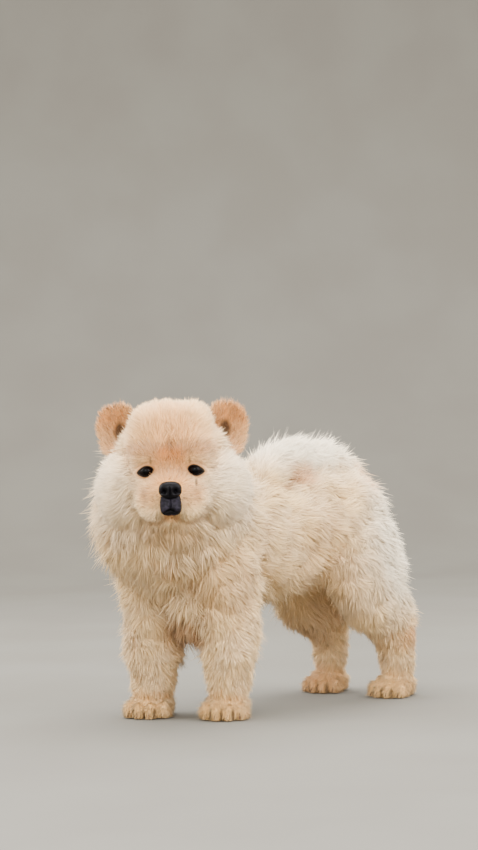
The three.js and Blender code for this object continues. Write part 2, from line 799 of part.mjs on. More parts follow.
for (const sign of [1, -1]) parts.head = parts.head.subtract(eyeball(sign, GAP));
for (const sign of [1, -1]) parts.head = parts.head.subtract(mouthLine(sign));
parts.head = largest(parts.head.subtract(noseBody(GAP)).subtract(lipsBody(GAP)));

const puppy = new THREE.Group();
function addPart(name, solid, material) {
  const mesh = new THREE.Mesh(geometryOf(solid), material);
  mesh.name = name;
  puppy.add(mesh);
}
for (const [name, solid] of Object.entries(parts))
  addPart(
    name,
    solid,
    name.startsWith("ear") ? earColour : name.includes("paw") ? pawColour : coatColour,
  );
addPart("eye_left", eyeball(1), eyeColour);
addPart("eye_right", eyeball(-1), eyeColour);
addPart("nose", nose(), leather);
addPart("lips", lips(), lipColour);

// The origin is on the floor under the middle of the animal's box.
const box = new THREE.Box3().setFromObject(puppy);
const centre = box.getCenter(new THREE.Vector3());
puppy.position.set(-centre.x, -centre.y, 0);

export default puppy;
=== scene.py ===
# %% [markdown]
# # A chow chow puppy, life size
# A chow chow puppy is a round, plush animal. Its short body disappears in a coat that
# stands off from the skin, its tail is carried over its back, and its face is broad with
# small dark eyes and a blue-black mouth.
# The lesson builds it in two layers. One smooth skin gives the body its form, and some two
# hundred and seventy thousand small tufts of hair, each one a tapered solid, give it its
# coat.
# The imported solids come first. They stay where they are and only lend their places.

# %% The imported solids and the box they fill
import math

import bpy
import numpy as np
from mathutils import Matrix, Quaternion, Vector
from mathutils.kdtree import KDTree


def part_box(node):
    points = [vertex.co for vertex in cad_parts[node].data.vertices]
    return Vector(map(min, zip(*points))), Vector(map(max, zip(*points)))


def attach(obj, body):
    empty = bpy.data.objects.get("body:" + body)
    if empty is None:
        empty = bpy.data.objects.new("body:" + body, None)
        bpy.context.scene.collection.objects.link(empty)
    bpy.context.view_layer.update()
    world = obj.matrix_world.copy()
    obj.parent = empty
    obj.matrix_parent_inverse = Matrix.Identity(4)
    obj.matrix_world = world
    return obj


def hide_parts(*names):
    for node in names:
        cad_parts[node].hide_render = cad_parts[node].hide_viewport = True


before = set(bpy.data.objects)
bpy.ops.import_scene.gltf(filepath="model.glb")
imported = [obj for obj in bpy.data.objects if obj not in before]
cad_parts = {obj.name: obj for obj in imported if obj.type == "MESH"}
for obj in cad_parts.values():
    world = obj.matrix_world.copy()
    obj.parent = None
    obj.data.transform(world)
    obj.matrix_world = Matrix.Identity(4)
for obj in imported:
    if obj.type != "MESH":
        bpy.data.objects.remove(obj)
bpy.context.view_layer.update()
print("nodes:", sorted(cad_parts))

# %% [markdown]
# The body's sizes are easiest to think of in millimetres, measured from a point on the
# floor between the paws, with +Y towards the tail and +X towards the animal's left.
# The left eye is in both sets of places, so the difference between the two gives the
# shift from one to the other.

# %% Millimetres to the frame's metres
MM = 0.001
EYE_LEFT = np.array([93.558, -170.02, 281.0])
eye_low, eye_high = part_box("eye_left")
SHIFT = (np.array(eye_low) + np.array(eye_high)) / 2 - EYE_LEFT * MM


def to_frame(points):
    """Metres in the frame: the millimetres times a thousandth, plus the shift."""
    return np.asarray(points, float) * MM + SHIFT


def unit(v):
    """Each row divided by its own length."""
    return v / np.maximum(np.linalg.norm(v, axis=-1, keepdims=True), 1e-9)


def ease(x, low, high):
    """0 below low, 1 above high, and a smooth S between them: 3t^2 - 2t^3."""
    t = np.clip((np.asarray(x, float) - low) / (high - low), 0, 1)
    return t * t * (3 - 2 * t)


def blend(a, b, share):
    """a where share is 0, b where it is 1, and a straight mix between them."""
    return a + (b - a) * share


print("shift in millimetres:", (SHIFT / MM).round(2))

# %% [markdown]
# ## The view
# A picture of an animal at its own eye level needs a long lens, so that the nose isn't
# drawn too large. The camera stands about two and a third metres off the left front
# corner, thirty centimetres above the floor, and is tilted a little to one side, as a
# hand-held one is.

# %% Camera
CAMERA_AT = np.array([1776.0, -1519.0, 300.0])
AWAY = np.array([-0.766, 0.643])  # over the floor, from the camera to the animal
FOCAL, PICTURE_HEIGHT = 2000, 850  # in pixels
SENSOR = 36  # millimetres
LOOK_UP = math.atan(25 / FOCAL)
ROLL = -0.03

camera_data = bpy.data.cameras.new("camera")
camera_data.sensor_width = SENSOR
camera_data.lens = SENSOR * FOCAL / PICTURE_HEIGHT
camera_data.clip_start, camera_data.clip_end = 0.05, 60
camera = bpy.data.objects.new("camera", camera_data)
bpy.context.scene.collection.objects.link(camera)
ahead = Vector((*(AWAY * math.cos(LOOK_UP)), math.sin(LOOK_UP)))
camera.rotation_mode = "QUATERNION"
camera.rotation_quaternion = ahead.to_track_quat("-Z", "Y") @ Quaternion((0, 0, 1), ROLL)
camera.location = Vector(to_frame(CAMERA_AT))
bpy.context.scene.camera = camera
print("camera at", [round(v, 3) for v in camera.location])

# %% [markdown]
# ## Turning arrays into meshes
# Every form here is worked out as whole arrays of points. A grid of points, with rows
# along the form and columns round it, becomes a closed skin when its first and last rows
# shrink to a point.

# %% Meshes from arrays


def mesh_of(name, points, faces):
    """A smooth mesh from points in metres and an array of faces of one size."""
    faces = np.asarray(faces, np.int32)
    count, size = faces.shape
    mesh = bpy.data.meshes.new(name)
    mesh.vertices.add(len(points))
    mesh.vertices.foreach_set("co", np.asarray(points, np.float32).ravel())
    mesh.loops.add(count * size)
    mesh.loops.foreach_set("vertex_index", faces.ravel())
    mesh.polygons.add(count)
    mesh.polygons.foreach_set("loop_start", np.arange(0, count * size, size, dtype=np.int32))
    mesh.polygons.foreach_set("use_smooth", np.ones(count, bool))
    mesh.update(calc_edges=True)
    return mesh


def piece(name, mesh):
    """A new object at the origin that shows the mesh."""
    made = bpy.data.objects.new(name, mesh)
    bpy.context.scene.collection.objects.link(made)
    return made


def dressed(name, form, replaces=None):
    """A piece from a form's points, in millimetres, and its triangles. It keeps still with the
    root and may stand for a node."""
    points, triangles = form
    made = piece(name, mesh_of(name, to_frame(points), triangles))
    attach(made, "root")
    if replaces:
        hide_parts(replaces)
    return made


def stored(items, label, columns, kind=np.float32):
    """What a mesh stores under a label, as an array with so many columns."""
    values = np.empty(len(items) * columns, kind)
    items.foreach_get(label, values)
    return values.reshape(-1, columns)


def closed_grid(grid):
    """Points and triangles of a closed form from a grid of rows by columns, with the first
    and last row drawn together into one point each. Columns run round the form."""
    rows, around = grid.shape[:2]
    points = np.vstack([grid[0].mean(0), grid[1:-1].reshape(-1, 3), grid[-1].mean(0)])
    i, j = np.meshgrid(np.arange(rows - 3), np.arange(around), indexing="ij")
    a = 1 + i * around + j
    b = 1 + i * around + (j + 1) % around
    quads = np.stack([a, b, b + around, a + around], -1).reshape(-1, 4)
    ring = np.arange(around)
    first = np.stack([np.zeros_like(ring), 1 + (ring + 1) % around, 1 + ring], -1)
    base = 1 + (rows - 3) * around
    last = np.stack(
        [np.full_like(ring, len(points) - 1), base + ring, base + (ring + 1) % around], -1
    )
    triangles = np.vstack([first, quads[:, [0, 1, 2]], quads[:, [0, 2, 3]], last])
    return points, outward(points, triangles)


def outward(points, triangles):
    """The triangles, all turned round if the form's signed volume, the sum of
    a . (b x c) / 6, is negative."""
    a, b, c = (points[triangles[:, k]] for k in range(3))
    return triangles if (a * np.cross(b, c)).sum() > 0 else triangles[:, ::-1]


def gathered(parts):
    """One set of points and triangles from several."""
    start = np.cumsum([0] + [len(p) for p, _ in parts[:-1]])
    return (
        np.vstack([p for p, _ in parts]),
        np.vstack([f + s for (_, f), s in zip(parts, start)]),
    )


# %% [markdown]
# ## Trunk, neck, tail and legs
# A trunk or leg is a rounded tube whose section changes along a bent path. Each station
# below gives the middle of a section, then its half-width and half-depth. A smooth curve
# through the stations gives the sections between them, and the sections close at both
# ends like the end of an egg.
# These are the body's own sizes without hair. The plush is added as a growth on all sides.

# %% Limbs
COAT, RUFF, TAIL_COAT = 30.0, 40.0, 22.0
FEATHER, BREECHES = 14.0, 20.0
CORE = 0.5  # how far into the coat the solids' smooth forms reach
PLUSH, TAIL_PLUSH = 3.0, 2.0  # how far the skin lies inside the solids


def through(stations, t):
    """Points on a smooth curve through the stations. Between two of them it is the cubic
    whose slope at each is half the step between that station's neighbours."""
    s = np.asarray(stations, float)
    s = np.vstack([2 * s[0] - s[1], s, 2 * s[-1] - s[-2]])
    u = np.clip(t, 0, 1) * (len(s) - 3)
    i = np.minimum(u.astype(int), len(s) - 4)
    f = (u - i)[..., None]
    a, b, c, d = (s[i + k] for k in range(4))
    return b + 0.5 * f * ((c - a) + f * ((2 * a - 5 * b + 4 * c - d) + f * (3 * (b - c) + d - a)))


class Limb:
    """A path with a changing oval section."""

    def __init__(self, ref, stations):
        self.ref = np.array(ref, float)
        self.stations = np.array(stations, float)

    def sections(self, t):
        """Middle, way ahead, side and tall axes, and the two half-sizes, at each t."""
        both = through(self.stations, t)
        step = through(self.stations, t + 1e-3) - through(self.stations, t - 1e-3)
        ahead = unit(step[..., :3])
        side = unit(np.cross(self.ref, ahead))
        return both[..., :3], ahead, side, np.cross(ahead, side), both[..., 3], both[..., 4]

    def form(self, grow, rows=60, around=64):
        """Closed form: middle + side * width * cos(a) + tall * depth * sin(a), where both
        half-sizes shrink to nothing at the ends as the sine of an arc, to the power 0.55."""
        t = (1 - np.cos(np.linspace(0, math.pi, rows))) / 2
        middle, ahead, side, tall, width, depth = (
            v[:, None] for v in self.sections(np.clip(t, 0.001, 0.999))
        )
        turn = np.linspace(0, 2 * math.pi, around, endpoint=False)[None]
        full = (np.sin(np.arccos(1 - 2 * t)) ** 0.55)[:, None]
        grid = (
            middle
            + side * ((width + grow) * full * np.cos(turn))[..., None]
            + tall * ((depth + grow) * full * np.sin(turn))[..., None]
            + ahead * (grow * (2 * t[:, None] - 1) * (1 - full))[..., None]
        )
        return closed_grid(grid)


spine = 204.0
trunk = Limb((0, 0, 1), [
    (27, -158, spine, 34, 36), (13, -138, spine, 44, 50), (0, -104, spine, 52, 58),
    (-9, -55, spine, 53, 58), (-12, 0, spine, 52, 56), (-9, 55, spine + 2, 50, 54),
    (-4, 110, spine + 3, 51, 55), (-2, 145, spine, 44, 48), (-1, 168, spine - 6, 30, 36),
])
neck = Limb((0, -1, 0), [
    (-12, -90, 160, 42, 44), (-10, -112, 196, 62, 59), (-2, -126, 228, 64, 60),
    (14, -140, 256, 55.5, 52), (31, -148, 280, 42, 42), (36, -154, 300, 28, 28),
])
tail = Limb((1, 0, 0), [
    (-2, 150, 237, 9, 9), (-3, 136, 261, 10, 10), (-2, 100, 277, 10, 10),
    (4, 54, 281, 10, 10), (15, 12, 278, 9, 9), (28, -20, 263, 7, 7),
])
FORE = {"left": (42.0, -94.0), "right": (-41.0, -137.0)}
HIND = {"left": (51.0, 158.0), "right": (-50.0, 143.0)}


def foreleg(side, sign, lead):
    """Stations of a foreleg from the shoulder down to the paw at (x, y)."""
    x, y = FORE[side]
    f, b = FEATHER * CORE, BREECHES * CORE
    return Limb((0, -1, 0), [
        (40 * sign, lead, 216, 22 + b, 30 + b),
        (x + sign, (y + lead) / 2, 176, 24 + b, 32 + b),
        (x, y + 5 + f / 2, 138, 24 + b / 2, 28 + f),
        (x, y + 4 + f / 2, 100, 25 + f / 4, 29 + f / 2),
        (x, y + 4 + f / 4, 66, 28, 28 + f / 8),
        (x, y + 4, 40, 28, 28),
        (x, y + 2, 12, 27, 27),
    ])


def hindleg(side, sign):
    """Stations of a hind leg from the hip, over the knee and hock, to the paw at (x, y)."""
    x, y = HIND[side]
    b = BREECHES * CORE
    return Limb((0, -1, 0), [
        (30 * sign - 3, y - 40, 222, 20 + b, 36 + b),
        (40 * sign - 2, y - 36, 184, 26 + b, 46 + b),
        (46 * sign - 1, y - 36, 148, 25 + b, 42 + b),
        (x, y - 25, 116, 24 + b / 2, 34 + b / 2),
        (x, y - 1, 84, 26, 29),
        (x, y + 7, 58, 25, 25),
        (x, y + 7, 12, 25, 24),
    ])


legs = {
    "foreleg_left": foreleg("left", 1, -98),
    "foreleg_right": foreleg("right", -1, -118),
    "hindleg_left": hindleg("left", 1),
    "hindleg_right": hindleg("right", -1),
}
forms = [
    trunk.form(COAT * CORE - PLUSH), neck.form(RUFF * CORE - PLUSH),
    tail.form(TAIL_COAT * CORE - TAIL_PLUSH), *(leg.form(-PLUSH) for leg in legs.values()),
]
print("limbs:", len(forms), "forms")

# %% [markdown]
# ## Paws
# A puppy's paw is a domed cushion with four toes set side by side, the middle two further
# forward. Each toe is an egg, flattened where it meets the floor. Eggs are easy to write
# as a function of two angles, and they run together when the skin is drawn over them.

# %% Paws
PAW_WIDTH, PAW_LENGTH, PAW_HEIGHT, SOLE_LIFT = 52.0, 60.0, 34.0, 3.0
TOES = [(-0.72, 0.36), (-0.26, 0.62), (0.26, 0.62), (0.72, 0.36)]
FORE_TURN, HIND_TURN = math.radians(38), math.radians(14)
PAWS = {
    "forepaw_left": (FORE["left"], FORE_TURN, 1.0),
    "forepaw_right": (FORE["right"], FORE_TURN - 0.06, 1.0),
    "hindpaw_left": (HIND["left"], HIND_TURN, 0.94),
    "hindpaw_right": (HIND["right"], HIND_TURN + 0.1, 0.94),
}


def egg(middle, half, yaw=0.0, rows=24, around=28):
    """An egg: middle + half * (cos a cos b, sin a cos b, sin b), turned by yaw about the
    upright axis."""
    b = np.linspace(-math.pi / 2, math.pi / 2, rows)[:, None]
    a = np.linspace(0, 2 * math.pi, around, endpoint=False)[None]
    way = np.stack([np.cos(a) * np.cos(b), np.sin(a) * np.cos(b), np.sin(b) + 0 * a], -1)
    q = way * np.asarray(half, float)
    c, s = math.cos(yaw), math.sin(yaw)
    q = np.stack([q[..., 0] * c - q[..., 1] * s, q[..., 0] * s + q[..., 1] * c, q[..., 2]], -1)
    return closed_grid(q + np.asarray(middle, float))


def paw_spot(name, right, front, up):
    """A point of a paw: so far to its right, to its front and up, in millimetres."""
    (x, y), yaw, scale = PAWS[name]
    front_way = np.array([math.sin(yaw), -math.cos(yaw)])
    right_way = np.array([math.cos(yaw), math.sin(yaw)])
    flat = np.array([x, y]) + scale * (right * right_way + front * front_way)
    return np.array([flat[0], flat[1], up * scale - SOLE_LIFT])


def paw_forms(name, shrink=1.6):
    """The cushion and its four toes, all a little smaller than the solids for their fur."""
    _, yaw, scale = PAWS[name]
    half = np.array([PAW_WIDTH * 0.46, PAW_LENGTH * 0.43, PAW_HEIGHT / 2 + SOLE_LIFT])
    made = [egg(paw_spot(name, 0, -5, 16), half * scale - shrink, yaw)]
    for right, front in TOES:
        spot = paw_spot(name, right * PAW_WIDTH / 2, front * PAW_LENGTH / 2, 11.5)
        size = np.array([7.6, 11.5, 12.5]) * scale - [0.5, shrink, shrink]
        made.append(egg(spot, size, yaw + right * 0.32))
    return made


BRISKET = ((6, -102, 134), (33, 30, 37))  # the chest's plush between the forelegs
forms.append(egg(*BRISKET))
for name in PAWS:
    forms += paw_forms(name)
print("forms with paws:", len(forms))

# %% [markdown]
# ## The head
# The head is one form round a point behind the muzzle: for each direction, how far out the
# surface lies. That reach comes from a few blocks of flesh with soft joints: the skull,
# the cheeks, the muzzle, its two hanging lips, the chin and the brows. A field adds them
# up, so that they melt into one another, and halving finds where the field is zero.
# The head has its own axes: to its left, ahead, and up.

# %% The head's field
HEAD_TURN = math.radians(49.2)
SKULL = np.array([38.0, -157.0, 290.0])
HEAD_AXES = np.array([
    [math.cos(HEAD_TURN), math.sin(HEAD_TURN), 0],
    [math.sin(HEAD_TURN), -math.cos(HEAD_TURN), 0],
    [0, 0, 1],
])
HEAD_MIDDLE = np.array([0.0, 26.0, -22.0])
# middle, half-sizes, and how square each mass is
MASSES = [
    ((0, -4, 9), (46, 60, 56), 4.0),
    ((42, -2, -30), (42, 48, 42), 2.2), ((-42, -2, -30), (42, 48, 42), 2.2),
    ((0, 46, -31), (27, 35, 21), 2.2),
    ((20, 46, -47), (21, 25, 22), 2.0), ((-20, 46, -47), (21, 25, 22), 2.0),
    ((0, 49, -54), (15, 19, 14), 2.0),
    ((22, 46, 10), (20, 17, 12), 2.0), ((-22, 46, 10), (20, 17, 12), 2.0),
]
BLEND_SOFT = 5.0


def on_head(q):
    """From the head's own axes to the body's."""
    return SKULL + np.asarray(q, float) @ HEAD_AXES


def in_head(p):
    """From the body's axes to the head's own."""
    return (np.asarray(p, float) - SKULL) @ HEAD_AXES.T


def head_field(q):
    """About how far points are outside the head: -s * log(sum(exp(-d / s))), the soft
    least of the distances d to the masses."""
    total = 0
    for at, half, square in MASSES:
        u = (q - np.array(at, float)) / np.array(half, float)
        k = (np.abs(u) ** square).sum(-1) ** (1 / square)
        slope = np.linalg.norm(u / np.array(half, float), axis=-1)
        away = (k - 1) / np.maximum(slope / np.maximum(np.linalg.norm(u, axis=-1), 1e-6), 1e-3)
        total = total + np.exp(-away / BLEND_SOFT)
    return -BLEND_SOFT * np.log(total)


def head_reach(way):
    """How far out the field is zero along each direction, by halving 20 times."""
    near, far = np.zeros(way.shape[:-1]), np.full(way.shape[:-1], 140.0)
    for _ in range(20):
        middle = (near + far) / 2
        inside = head_field(HEAD_MIDDLE + way * middle[..., None]) < 0
        near, far = np.where(inside, middle, near), np.where(inside, far, middle)
    return near


def face_share(q):
    """1 on the face's short fur, 0 on the deep plush of the cheeks and the skull."""
    front = ease(q[..., 1], 24, 54)
    low = 1 - ease(q[..., 2], 0, 36)
    inner = 1 - ease(np.abs(q[..., 0]), 34, 58)
    return front * (0.15 + 0.85 * low) * (0.25 + 0.75 * inner)


EYE_SPACING, EYE_UP, EYE_RADIUS = 53.0, -10.3, 9.0
EYE_OPEN = (7.5, 4.9)  # half-width and half-height of the opening between the lids


def eye_place(q, sign):
    """Where a point is in an eye's opening: outwards and upwards, as shares of its
    half-sizes. The outer corner is drawn out and a little down."""
    out = (q[..., 0] * sign - EYE_SPACING / 2) / EYE_OPEN[0]
    up = (q[..., 2] - EYE_UP + 1.3 * out) / (EYE_OPEN[1] * (1 - 0.3 * ease(out, 0, 1.3)))
    return out, up


def head_form():
    """The head's skin on a grid of rings round the way ahead, under the fur's depth."""
    rows, around = 150, 180
    polar = np.linspace(0, 1, rows)
    ring = (math.pi * (0.8 * polar + 0.2 * polar**2))[:, None]
    turn = np.linspace(0, 2 * math.pi, around, endpoint=False)[None]
    way = np.stack([
        np.sin(ring) * np.cos(turn), np.cos(ring) + 0 * turn, -np.sin(ring) * np.sin(turn),
    ], -1)
    reach = head_reach(way)
    q = HEAD_MIDDLE + way * reach[..., None]
    depth = blend(6.5, 2.0, face_share(q))
    # a crease up the middle of the brow
    brow_line = ease(q[..., 2], -2, 6) * (1 - ease(q[..., 2], 34, 46)) * ease(q[..., 1], 30, 44)
    depth = depth + 3.0 * brow_line * np.exp(-((q[..., 0] / 4.5) ** 2))
    # the lower rim of the muzzle's two round sides, and a dimple beside each
    x, z = np.abs(q[..., 0]), q[..., 2]
    rim = 20 * (np.hypot((x - 19.5) / 20, (z + 47) / 20) - 1)
    below = ease(-z, 48, 56) * ease(q[..., 1], 28, 40)
    beside = np.exp(-(((x - 28) / 4) ** 2) - ((z + 40) / 8) ** 2) * ease(q[..., 1], 28, 40)
    depth = depth + below * (6.5 * np.exp(-((rim / 3.4) ** 2)) - 2.5 * ease(-rim, 0, 8)) + 3.5 * beside
    q = HEAD_MIDDLE + way * (reach - depth)[..., None]
    # the hollows in which the eyes lie
    for sign in (1, -1):
        out, up = eye_place(q, sign)
        hollow = 1 - ease(np.hypot(out, up), 0.8, 1.45)
        q[..., 1] = np.where(q[..., 1] > 30, q[..., 1] - 7.5 * hollow, q[..., 1])
    return closed_grid(on_head(q))


def face_front(x, z, under=2.0):
    """How far ahead the face's surface is at x to the side and z up, by halving the way
    between a place inside the head and one in front of it."""
    near, far = np.full(np.shape(x), 20.0), np.full(np.shape(x), 100.0)
    for _ in range(20):
        middle = (near + far) / 2
        inside = head_field(np.stack([x, middle, z], -1)) < -under
        near, far = np.where(inside, middle, near), np.where(inside, far, middle)
    return near


THROAT = ((0, 16, -62), (36, 38, 24))
forms.append(head_form())
forms.append(egg(on_head(THROAT[0]), THROAT[1], HEAD_TURN))
print("head: reach ahead", head_reach(np.array([[0.0, 1.0, 0.0]])).round(1))

# %% [markdown]
# ## Ears
# The ears are thick, rounded flaps, set wide and stiffly forward. Each one is a flat egg
# whose face is dished towards the front. Near the skull the dish goes deeper, where the
# ear's passage opens. Behind each ear its root fills the way down to the neck, and before
# it the skull's side is padded, so that no gap shows between them.

# %% Ears
EAR_SPACING, EAR_HALF = 115.0, (25.0, 32.0)
PASSAGE_AT, PASSAGE_HALF = (59, 35), (6, 10)  # the ear's opening, to the side and up


def ear_form(sign, shrink=1.6):
    """A flap: x across and z up are the two sizes to the power 0.8, the face is pushed back
    by 9 * (1 - x^2 - z^2) and more towards the skull, and the edge is rounded."""
    b = np.linspace(-math.pi / 2, math.pi / 2, 40)[:, None]
    a = np.linspace(0, 2 * math.pi, 56, endpoint=False)[None]
    x = np.cos(b) * np.cos(a)
    y = np.cos(b) * np.sin(a)
    z = np.sin(b) + 0 * a
    power = lambda v, p: np.sign(v) * np.abs(v) ** p
    flat = 1 - np.minimum(1, x * x + y * y)
    across = (EAR_HALF[0] - shrink) * power(x, 0.8)
    high = (EAR_HALF[1] - shrink) * power(y, 0.8)
    inner = ease(-across * sign, -14, 12) * ease(-high, -16, 8)
    cup = -9 * flat - np.where(z > 0, 7 * flat * inner, 0)
    thick = (np.where(z > 0, 4.0, 5.0) - shrink * 0.6) * power(z, 0.7)
    lean = sign * 0.22
    left = across * math.cos(lean) + high * math.sin(lean)
    up = high * math.cos(lean) - across * math.sin(lean)
    back = 0.35 * np.abs(left) * np.sign(left * sign) / 25
    q = np.stack([sign * EAR_SPACING / 2 + left, -9 + thick + cup - back * 8, 31 + up], -1)
    return closed_grid(on_head(q))


forms += [ear_form(1), ear_form(-1)]
EAR_ROOT, SKULL_SIDE = ((50, -30, 22), (17, 13, 27)), ((41, 0, 8), (15, 20, 28))
for sign in (1, -1):
    for (x, y, z), half in (EAR_ROOT, SKULL_SIDE):
        forms.append(egg(on_head((sign * x, y, z)), half, HEAD_TURN))

# %% [markdown]
# ## One skin
# Separate forms would show seams where they meet. A voxel remesh draws one even skin round
# all of them, as if they were filled with small cubes, and a few rounds of smoothing take
# the cubes' steps away. What would be below the floor is pressed up onto it.

# %% Skin
VOXEL = 2.3 * MM


def drawn_over(name, parts):
    """One even skin round all the parts."""
    points, triangles = gathered(parts)
    rough = piece("rough_" + name, mesh_of("rough_" + name, to_frame(points), triangles))
    remesh = rough.modifiers.new("even", "REMESH")
    remesh.mode, remesh.voxel_size, remesh.use_smooth_shade = "VOXEL", VOXEL, True
    soften = rough.modifiers.new("soften", "SMOOTH")
    soften.factor, soften.iterations = 0.5, 4
    seen = rough.evaluated_get(bpy.context.evaluated_depsgraph_get())
    mesh = bpy.data.meshes.new_from_object(seen)
    mesh.name = name
    bpy.data.objects.remove(rough)
    co = stored(mesh.vertices, "co", 3)
    co[:, 2] = np.maximum(co[:, 2], 0.0)
    mesh.vertices.foreach_set("co", co.ravel())
    mesh.update()
    return piece(name, mesh)


skin = drawn_over("skin", forms)
FLESH = [
    "head", "neck", "torso", "tail", "ear_left", "ear_right",
    *legs, *PAWS,
]
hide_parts(*FLESH)
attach(skin, "root")
print("skin:", len(skin.data.polygons), "faces")

# %% [markdown]
# ## The skin laid flat
# Each tuft takes a small spot on a flat map of the skin, where its root is, so that a
# picture of the coat's colours can be stored on that map. The map is cut along the
# sharper turns of the skin and its pieces are laid side by side.

# %% Unwrap of the skin
bpy.ops.object.select_all(action="DESELECT")
skin.select_set(True)
bpy.context.view_layer.objects.active = skin
skin.data.uv_layers.new(name="OFBake")
bpy.ops.object.mode_set(mode="EDIT")
bpy.ops.mesh.select_all(action="SELECT")
bpy.ops.uv.smart_project(angle_limit=math.radians(66), island_margin=0.002)
bpy.ops.object.mode_set(mode="OBJECT")

mesh = skin.data
mesh.calc_loop_triangles()
tri_points = stored(mesh.loop_triangles, "vertices", 3, np.int32)
tri_loops = stored(mesh.loop_triangles, "loops", 3, np.int32)
skin_at = (stored(mesh.vertices, "co", 3) - SHIFT) / MM
skin_out = unit(stored(mesh.vertices, "normal", 3).astype(float))
skin_map = stored(mesh.uv_layers["OFBake"].data, "uv", 2)
print("skin map from", skin_map.min(0).round(3), "to", skin_map.max(0).round(3))

# %% [markdown]
# ## How the coat lies
# Hair on the head runs back from the nose. On the chest it hangs, on the back and sides it
# runs towards the tail and down, and on the legs it runs down. Near the end of one part the
# direction turns smoothly into the next part's.
# So each skin point gets a share of every part, which falls off quickly with the distance
# from that part's middle line, and everything that changes over the body is a mix by those
# shares: the lie, the length, the width and the number of tufts.

# %% Parts of the body and their shares
# per part: reach along the skin, rise above it, width (mm), how dense against the others,
# the share of tufts that bend over, and how far the plush swells in clumps (mm)
COATS = {
    "trunk": (14, 10, 1.3, 0.80, 0.30, 4.5), "neck": (15, 12, 1.4, 0.85, 0.35, 5.0),
    "tail": (14, 9.5, 1.3, 1.10, 0.35, 3.5), "foreleg": (9, 8, 1.2, 0.90, 0.25, 3.2),
    "hindleg": (11, 9, 1.2, 0.85, 0.30, 3.6), "head": (11, 8, 1.1, 1.05, 0.25, 1.8),
    "face": (5.0, 2.4, 0.8, 1.80, 0.0, 0.0), "ear": (8, 3.8, 0.8, 1.70, 0.0, 0.0),
    "paw": (6.5, 3.2, 0.9, 1.80, 0.0, 0.4), "shank": (8, 5.5, 1.0, 1.20, 0.1, 1.4),
}
PARTS = list(COATS)
COAT_TABLE = np.array([COATS[name] for name in PARTS], float)


def near_limb(p, limb, grow):
    """For each point, the least distance to the limb's middle line as a share of its
    section there."""
    middle, _, _, _, width, depth = limb.sections(np.linspace(0.02, 0.98, 40))
    size = (width + depth) / 2 + grow
    return (np.linalg.norm(p[:, None] - middle[None], axis=-1) / size[None]).min(1)


def body_shares(p):
    """The share of each part at each point, and the lie of the hair there."""
    q = in_head(p)
    head_d = 1 + head_field(q) / 50 + 0.16 * ease(-q[:, 1], 5, 60)
    ear_d = np.full(len(p), 9.0)
    ear_foot = np.stack([50 * np.sign(q[:, 0]), q[:, 1], 0 * q[:, 2]], 1)
    for sign in (1, -1):
        flap = (q - [sign * EAR_SPACING / 2, -14, 32]) / [29, 15, 36]
        ear_d = np.minimum(ear_d, 0.55 * np.linalg.norm(flap, axis=-1))
    leg_d = {"foreleg": 9.0, "hindleg": 9.0, "shank": 9.0}
    for name, limb in legs.items():
        away = near_limb(p, limb, 0)
        kind = name[:7]
        hind = kind == "hindleg"
        low = ease(-p[:, 2], -112 if hind else -92, -66 if hind else -46)
        leg_d[kind] = np.minimum(leg_d[kind], away + 1.2 * low + 0.06)
        leg_d["shank"] = np.minimum(leg_d["shank"], away + 1.2 * (1 - low) + 0.06)
    paw_d = np.full(len(p), 9.0)
    paw_way = np.zeros_like(p)
    for (x, y), yaw, _ in PAWS.values():
        away = np.linalg.norm((p - [x, y, 8]) / [34, 34, 34], axis=-1)
        closer = (away < paw_d)[:, None]
        front = np.array([math.sin(yaw) * 0.8, -math.cos(yaw) * 0.8, -0.6])
        paw_way, paw_d = np.where(closer, front, paw_way), np.minimum(paw_d, away)
    face = face_share(q)
    table = {
        "trunk": near_limb(p, trunk, COAT * CORE),
        "neck": near_limb(p, neck, RUFF * CORE) + 0.02,
        "tail": near_limb(p, tail, TAIL_COAT * CORE),
        "foreleg": leg_d["foreleg"], "hindleg": leg_d["hindleg"], "shank": leg_d["shank"],
        "head": head_d + 0.5 * face, "face": head_d + 0.5 * (1 - face), "ear": ear_d,
        "paw": paw_d,
    }
    distance = np.stack([table[name] + np.zeros(len(p)) for name in PARTS], 1)
    share = np.exp(-14 * (distance - distance.min(1, keepdims=True)))
    share /= share.sum(1, keepdims=True)
    chest = 1 - ease(p[:, 1], -118, -50)[:, None]
    rump = ease(p[:, 1], 110, 165)[:, None]
    nose = np.array([0.0, 78.0, -30.0])
    from_nose = unit(q - nose + [0, -14, 0]) @ HEAD_AXES
    nape = 1 - ease(q[:, 1], -34, 4)[:, None]
    tail_root = ease(p[:, 1], 84, 128)[:, None]
    ways = {
        "trunk": blend(np.array([0, 1, -0.5]), np.array([0, 0.08, -1]), np.maximum(chest, rump)),
        "neck": blend(np.array([0, 0.8, -0.8]), np.array([0, 0.1, -1]), chest),
        "tail": blend(np.array([0.15, 0.9, 0.2]), np.array([0, 0.5, -0.8]), tail_root),
        "foreleg": np.array([0, 0.35, -1]) + 0 * p, "hindleg": np.array([0, 0.45, -1]) + 0 * p,
        "shank": np.array([0, 0.1, -1]) + 0 * p, "paw": paw_way,
        "head": blend(unit(from_nose + [0, 0, -0.25]), np.array([-0.2, 0.2, -1]), nape),
        "face": from_nose,
        "ear": unit(q - ear_foot) @ HEAD_AXES,
    }
    lie = sum(unit(ways[name] + 0 * p) * share[:, [k]] for k, name in enumerate(PARTS))
    return share, lie


skin_share, skin_lie = body_shares(skin_at.astype(float))
for k, name in enumerate(PARTS):
    print(name, "is nearest at", int((skin_share.argmax(1) == k).sum()), "skin points")

